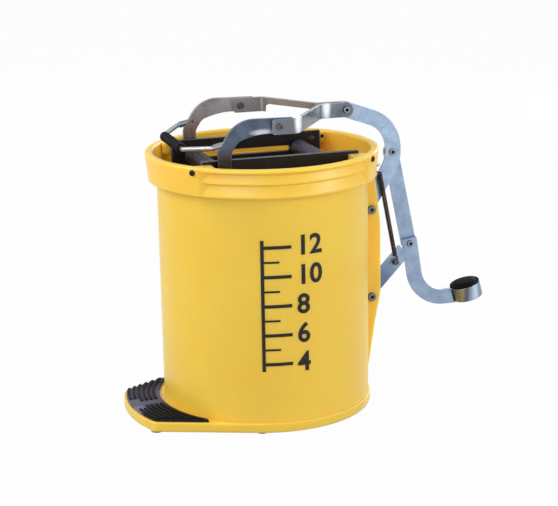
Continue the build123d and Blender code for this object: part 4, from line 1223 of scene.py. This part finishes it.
@dataclass
class ReturnSpring:
    """Close-wound spring between the eye under the rim and the stud on the lever."""

    finishes: Finishes
    top: Point = (0.095846, -0.00545, 0.3035)
    stud: Point = (0.120746, -0.00545, 0.171)
    turns: int = 54
    pitch: float = 0.00214
    coil_r: float = 0.0023
    wire_r: float = 0.0009
    hook_r: float = 0.0033
    hook_tip: float = 0.0015
    points_a_turn: int = 16
    stations: tuple[float, ...] = (0.5, 0.8)

    def __post_init__(self) -> None:
        """Works out the spring's own frame and where its coil begins and ends."""
        way = Vector(self.stud) - Vector(self.top)
        self.length = way.length
        along = way.normalized()
        side = Vector((0.0, 1.0, 0.0))
        self.place = standing(Vector(self.top) - side * self.coil_r, along, side)
        self.coil_start = (self.length - self.turns * self.pitch) / 2
        self.coil_end = self.length - self.coil_start

    def hook(self, lower: bool) -> list[Vector]:
        """Centre line of a hook in the spring's frame, from its tip to the coil.

        Args:
            lower: True for the hook on the stud.

        Returns:
            Points along the wire.
        """
        points = [Vector((self.coil_r, self.hook_r, self.hook_tip))]
        for step in range(13):
            turn = math.pi * step / 12
            across, along = self.hook_r * math.cos(turn), -self.hook_r * math.sin(turn)
            points.append(Vector((self.coil_r, across, along)))
        neck = self.coil_start - self.hook_r
        for step in range(1, 7):
            points.append(Vector((self.coil_r, -self.hook_r, neck * step / 6)))
        for step in range(1, 8):
            turn = 0.5 * math.pi * step / 8
            rise = self.hook_r * math.sin(turn)
            points.append(Vector((self.coil_r, -self.hook_r * math.cos(turn), neck + rise)))
        if lower:
            points = [Vector((point.x, -point.y, self.length - point.z)) for point in points]
        return points

    def coil(self, first: float, last: float) -> list[Vector]:
        """Helix in the spring's frame between two distances along its axis.

        Args:
            first: Where it starts.
            last: Where it ends.

        Returns:
            Points along the wire.
        """
        count = round(self.points_a_turn * (last - first) / self.pitch)
        points = []
        for step in range(count + 1):
            along = first + (last - first) * step / count
            turn = 2 * math.pi * (along - self.coil_start) / self.pitch
            points.append(Vector((self.coil_r * math.cos(turn), self.coil_r * math.sin(turn), along)))
        return points

    def wire(self, name: str, points: list[Vector]) -> Piece:
        """Round wire along a row of points.

        Args:
            name: Name of the piece.
            points: Centre line in the spring's frame.

        Returns:
            The wire's mesh object, in the row frame.
        """
        curve = bpy.data.curves.new(name, "CURVE")
        curve.dimensions = "3D"
        curve.bevel_depth = self.wire_r
        curve.bevel_resolution = 3
        curve.use_fill_caps = True
        spline = curve.splines.new("POLY")
        spline.points.add(len(points) - 1)
        for knot, point in zip(spline.points, points):
            knot.co = (*point, 1.0)
        wire = bpy.data.objects.new(name, curve)
        bpy.context.scene.collection.objects.link(wire)
        make_active(wire)
        bpy.ops.object.convert(target="MESH")
        bpy.ops.object.shade_smooth()
        wire = bpy.context.object
        settle(wire, self.place)
        return wire

    def turn_share(self, share: float) -> float:
        """Share of the pedal's turn that keeps a point of the spring in line at full press.

        Args:
            share: Place along the spring, 0 at its top and 1 at the stud.

        Returns:
            Share of the turn.
        """
        joint = next(joint for joint in frame["joints"] if joint["name"] == "pedal_press")
        pivot = Vector(joint["pos_m"])
        press = math.radians(joint["range_deg"][1])
        top, stud = Vector(self.top) - pivot, Vector(self.stud) - pivot
        pressed = Matrix.Rotation(press, 3, "Y") @ stud
        rest = top.lerp(stud, share)
        flat = Vector((1.0, 0.0, 1.0))
        way = (pressed - top) * flat
        start = top * flat
        reach = (rest * flat).length_squared
        square, slope = way.length_squared, start.dot(way)
        along = (-slope - math.sqrt(slope**2 - square * (start.length_squared - reach))) / square
        moved = start + way * along
        turned_by = math.atan2(rest.z, rest.x) - math.atan2(moved.z, moved.x)
        return turned_by / press

    def carry(self, piece: Piece, ends: tuple[float, float], turns: tuple[float, float]) -> None:
        """Lets a stretch of wire follow the pedal by a growing share.

        Args:
            piece: The stretch.
            ends: Where it starts and ends, 0 at the top of the spring and 1 at the stud.
            turns: Share of the pedal's turn at both ends.
        """
        ease = [0.5 - math.sin(math.asin(1 - 2 * turn) / 3) for turn in turns]
        span = (ends[1] - ends[0]) / (ease[1] - ease[0])
        start = ends[0] - ease[0] * span
        top, way = Vector(self.top), Vector(self.stud) - Vector(self.top)
        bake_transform(piece, "bucket", "pedal", start=top + way * start, end=top + way * (start + span))

    def build(self) -> None:
        """Winds the spring in stretches and lets them follow the pedal."""
        inner = [*self.stations, self.coil_end / self.length]
        marks = [self.coil_start, *(self.length * share for share in self.stations), self.coil_end]
        shares = [0.0, *inner, 1.0]
        turns = [0.0, *(self.turn_share(share) for share in inner), 1.0]
        routes = [self.coil(first, last) for first, last in zip(marks, marks[1:])]
        routes[0] = self.hook(lower=False) + routes[0]
        routes.append([routes[-1][-1], *reversed(self.hook(lower=True))])
        names = ("spring_upper_coil", "spring_middle_coil", "spring_lower_coil", "spring_lower_hook")
        for index, (name, route) in enumerate(zip(names, routes)):
            piece = self.wire(name, route)
            self.finishes.dress(piece, OILED_STEEL)
            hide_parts("return_spring")
            self.carry(piece, (shares[index], shares[index + 1]), (turns[index], turns[index + 1]))
            LOG.info("%s: %d points, turn share %.2f", name, len(route), turns[index + 1])


@dataclass(frozen=True)
class SoftLamp:
    """Square lamp with its place, the side of the square and its power in watts."""

    name: str
    place: Point
    size: float
    power: float


@dataclass
class Studio:
    """Pale floor, soft lamps and the camera."""

    azimuth: float = math.radians(-17.0)
    elevation: float = math.radians(14.35)
    roll: float = math.radians(-1.04)
    distance: float = 2.2597
    target: Point = (-0.03872, 0.0, 0.19668)
    lens: float = 112.36
    floor_size: float = 30.0
    floor_white: float = 0.50
    floor_glow: float = 0.97
    sky_light: float = 0.48
    sky_colour: Colour = (0.97, 0.985, 1.0)
    lamps: tuple[SoftLamp, ...] = (
        SoftLamp("key_lamp", (-1.90, -2.20, 1.10), 1.7, 34.0),
        SoftLamp("fill_lamp", (2.35, -1.85, 1.15), 1.6, 50.0),
        SoftLamp("rim_lamp", (1.80, 1.80, 0.95), 1.4, 28.0),
        SoftLamp("inner_lamp", (-2.30, 0.25, 1.95), 1.2, 40.0),
    )

    def shown_white(self, tree: bpy.types.NodeTree) -> Socket:
        """Value of 1 for rays from the camera, mirrors and glass, and 0 for the rest.

        Args:
            tree: Node tree to add to.

        Returns:
            The value.
        """
        path = tree.nodes.new("ShaderNodeLightPath")
        total = path.outputs["Is Camera Ray"]
        for ray in ("Is Glossy Ray", "Is Transmission Ray"):
            node = tree.nodes.new("ShaderNodeMath")
            node.operation = "MAXIMUM"
            tree.links.new(total, node.inputs[0])
            tree.links.new(path.outputs[ray], node.inputs[1])
            total = node.outputs[0]
        return total

    def floor(self) -> None:
        """Lays a pale floor that shows near white and keeps the shadow."""
        deselect_all()
        bpy.ops.mesh.primitive_plane_add(size=self.floor_size)
        floor = bpy.context.object
        floor.name = "studio_floor"
        material = bpy.data.materials.new("pale_floor")
        material.use_nodes = True
        tree = material.node_tree
        shader = tree.nodes["Principled BSDF"]
        shader.inputs["Base Color"].default_value = (self.floor_white,) * 3 + (1.0,)
        shader.inputs["Roughness"].default_value = 0.9
        shader.inputs["Specular IOR Level"].default_value = 0.0
        glow = tree.nodes.new("ShaderNodeEmission")
        share = tree.nodes.new("ShaderNodeMath")
        share.operation = "MULTIPLY"
        share.inputs[1].default_value = self.floor_glow
        mix = tree.nodes.new("ShaderNodeMixShader")
        tree.links.new(self.shown_white(tree), share.inputs[0])
        tree.links.new(share.outputs[0], mix.inputs["Fac"])
        tree.links.new(shader.outputs["BSDF"], mix.inputs[1])
        tree.links.new(glow.outputs["Emission"], mix.inputs[2])
        tree.links.new(mix.outputs["Shader"], tree.nodes["Material Output"].inputs["Surface"])
        floor.data.materials.append(material)

    def sky(self) -> None:
        """Lights the room softly and shows it white."""
        world = bpy.data.worlds.new("studio_sky")
        bpy.context.scene.world = world
        world.use_nodes = True
        tree = world.node_tree
        light = tree.nodes["Background"]
        light.inputs["Color"].default_value = (*self.sky_colour, 1.0)
        light.inputs["Strength"].default_value = self.sky_light
        white = tree.nodes.new("ShaderNodeBackground")
        white.inputs["Color"].default_value = (1.0, 1.0, 1.0, 1.0)
        mix = tree.nodes.new("ShaderNodeMixShader")
        tree.links.new(self.shown_white(tree), mix.inputs["Fac"])
        tree.links.new(light.outputs["Background"], mix.inputs[1])
        tree.links.new(white.outputs["Background"], mix.inputs[2])
        tree.links.new(mix.outputs["Shader"], tree.nodes["World Output"].inputs["Surface"])

    def hang(self, lamp: SoftLamp) -> None:
        """Hangs a lamp that looks at the object.

        Args:
            lamp: The lamp.
        """
        light = bpy.data.lights.new(lamp.name, "AREA")
        light.size = lamp.size
        light.energy = lamp.power
        hung = bpy.data.objects.new(lamp.name, light)
        bpy.context.scene.collection.objects.link(hung)
        hung.location = lamp.place
        hung.rotation_euler = (Vector(self.target) - hung.location).to_track_quat("-Z", "Y").to_euler()

    def camera(self) -> None:
        """Stands the camera where the photograph was taken from."""
        data = bpy.data.cameras.new("camera")
        data.lens = self.lens
        camera = bpy.data.objects.new("camera", data)
        bpy.context.scene.collection.objects.link(camera)
        away = Vector((math.sin(self.azimuth), -math.cos(self.azimuth), 0.0))
        back = away * math.cos(self.elevation)
        back.z = math.sin(self.elevation)
        right = Vector((math.cos(self.azimuth), math.sin(self.azimuth), 0.0))
        up = back.cross(right)
        tilted_right = right * math.cos(self.roll) + up * math.sin(self.roll)
        camera.matrix_world = standing(Vector(self.target) + back * self.distance, back, tilted_right)
        bpy.context.scene.camera = camera

    def build(self) -> None:
        """Sets up the floor, the light and the camera."""
        self.floor()
        self.sky()
        for lamp in self.lamps:
            self.hang(lamp)
        self.camera()
        bpy.context.scene.view_settings.view_transform = "Standard"


def main() -> None:
    """Builds and dresses every sub-assembly and reports the pieces."""
    logging.basicConfig(level=logging.INFO, format="%(message)s")
    finishes = Finishes()
    for kind in (Bucket, Wringer, Linkage, PullFrame):
        assembly = kind(finishes)
        assembly.build()
        assembly.dress()
    ReturnSpring(finishes).build()
    Studio().build()


if __name__ == "__main__":
    main()
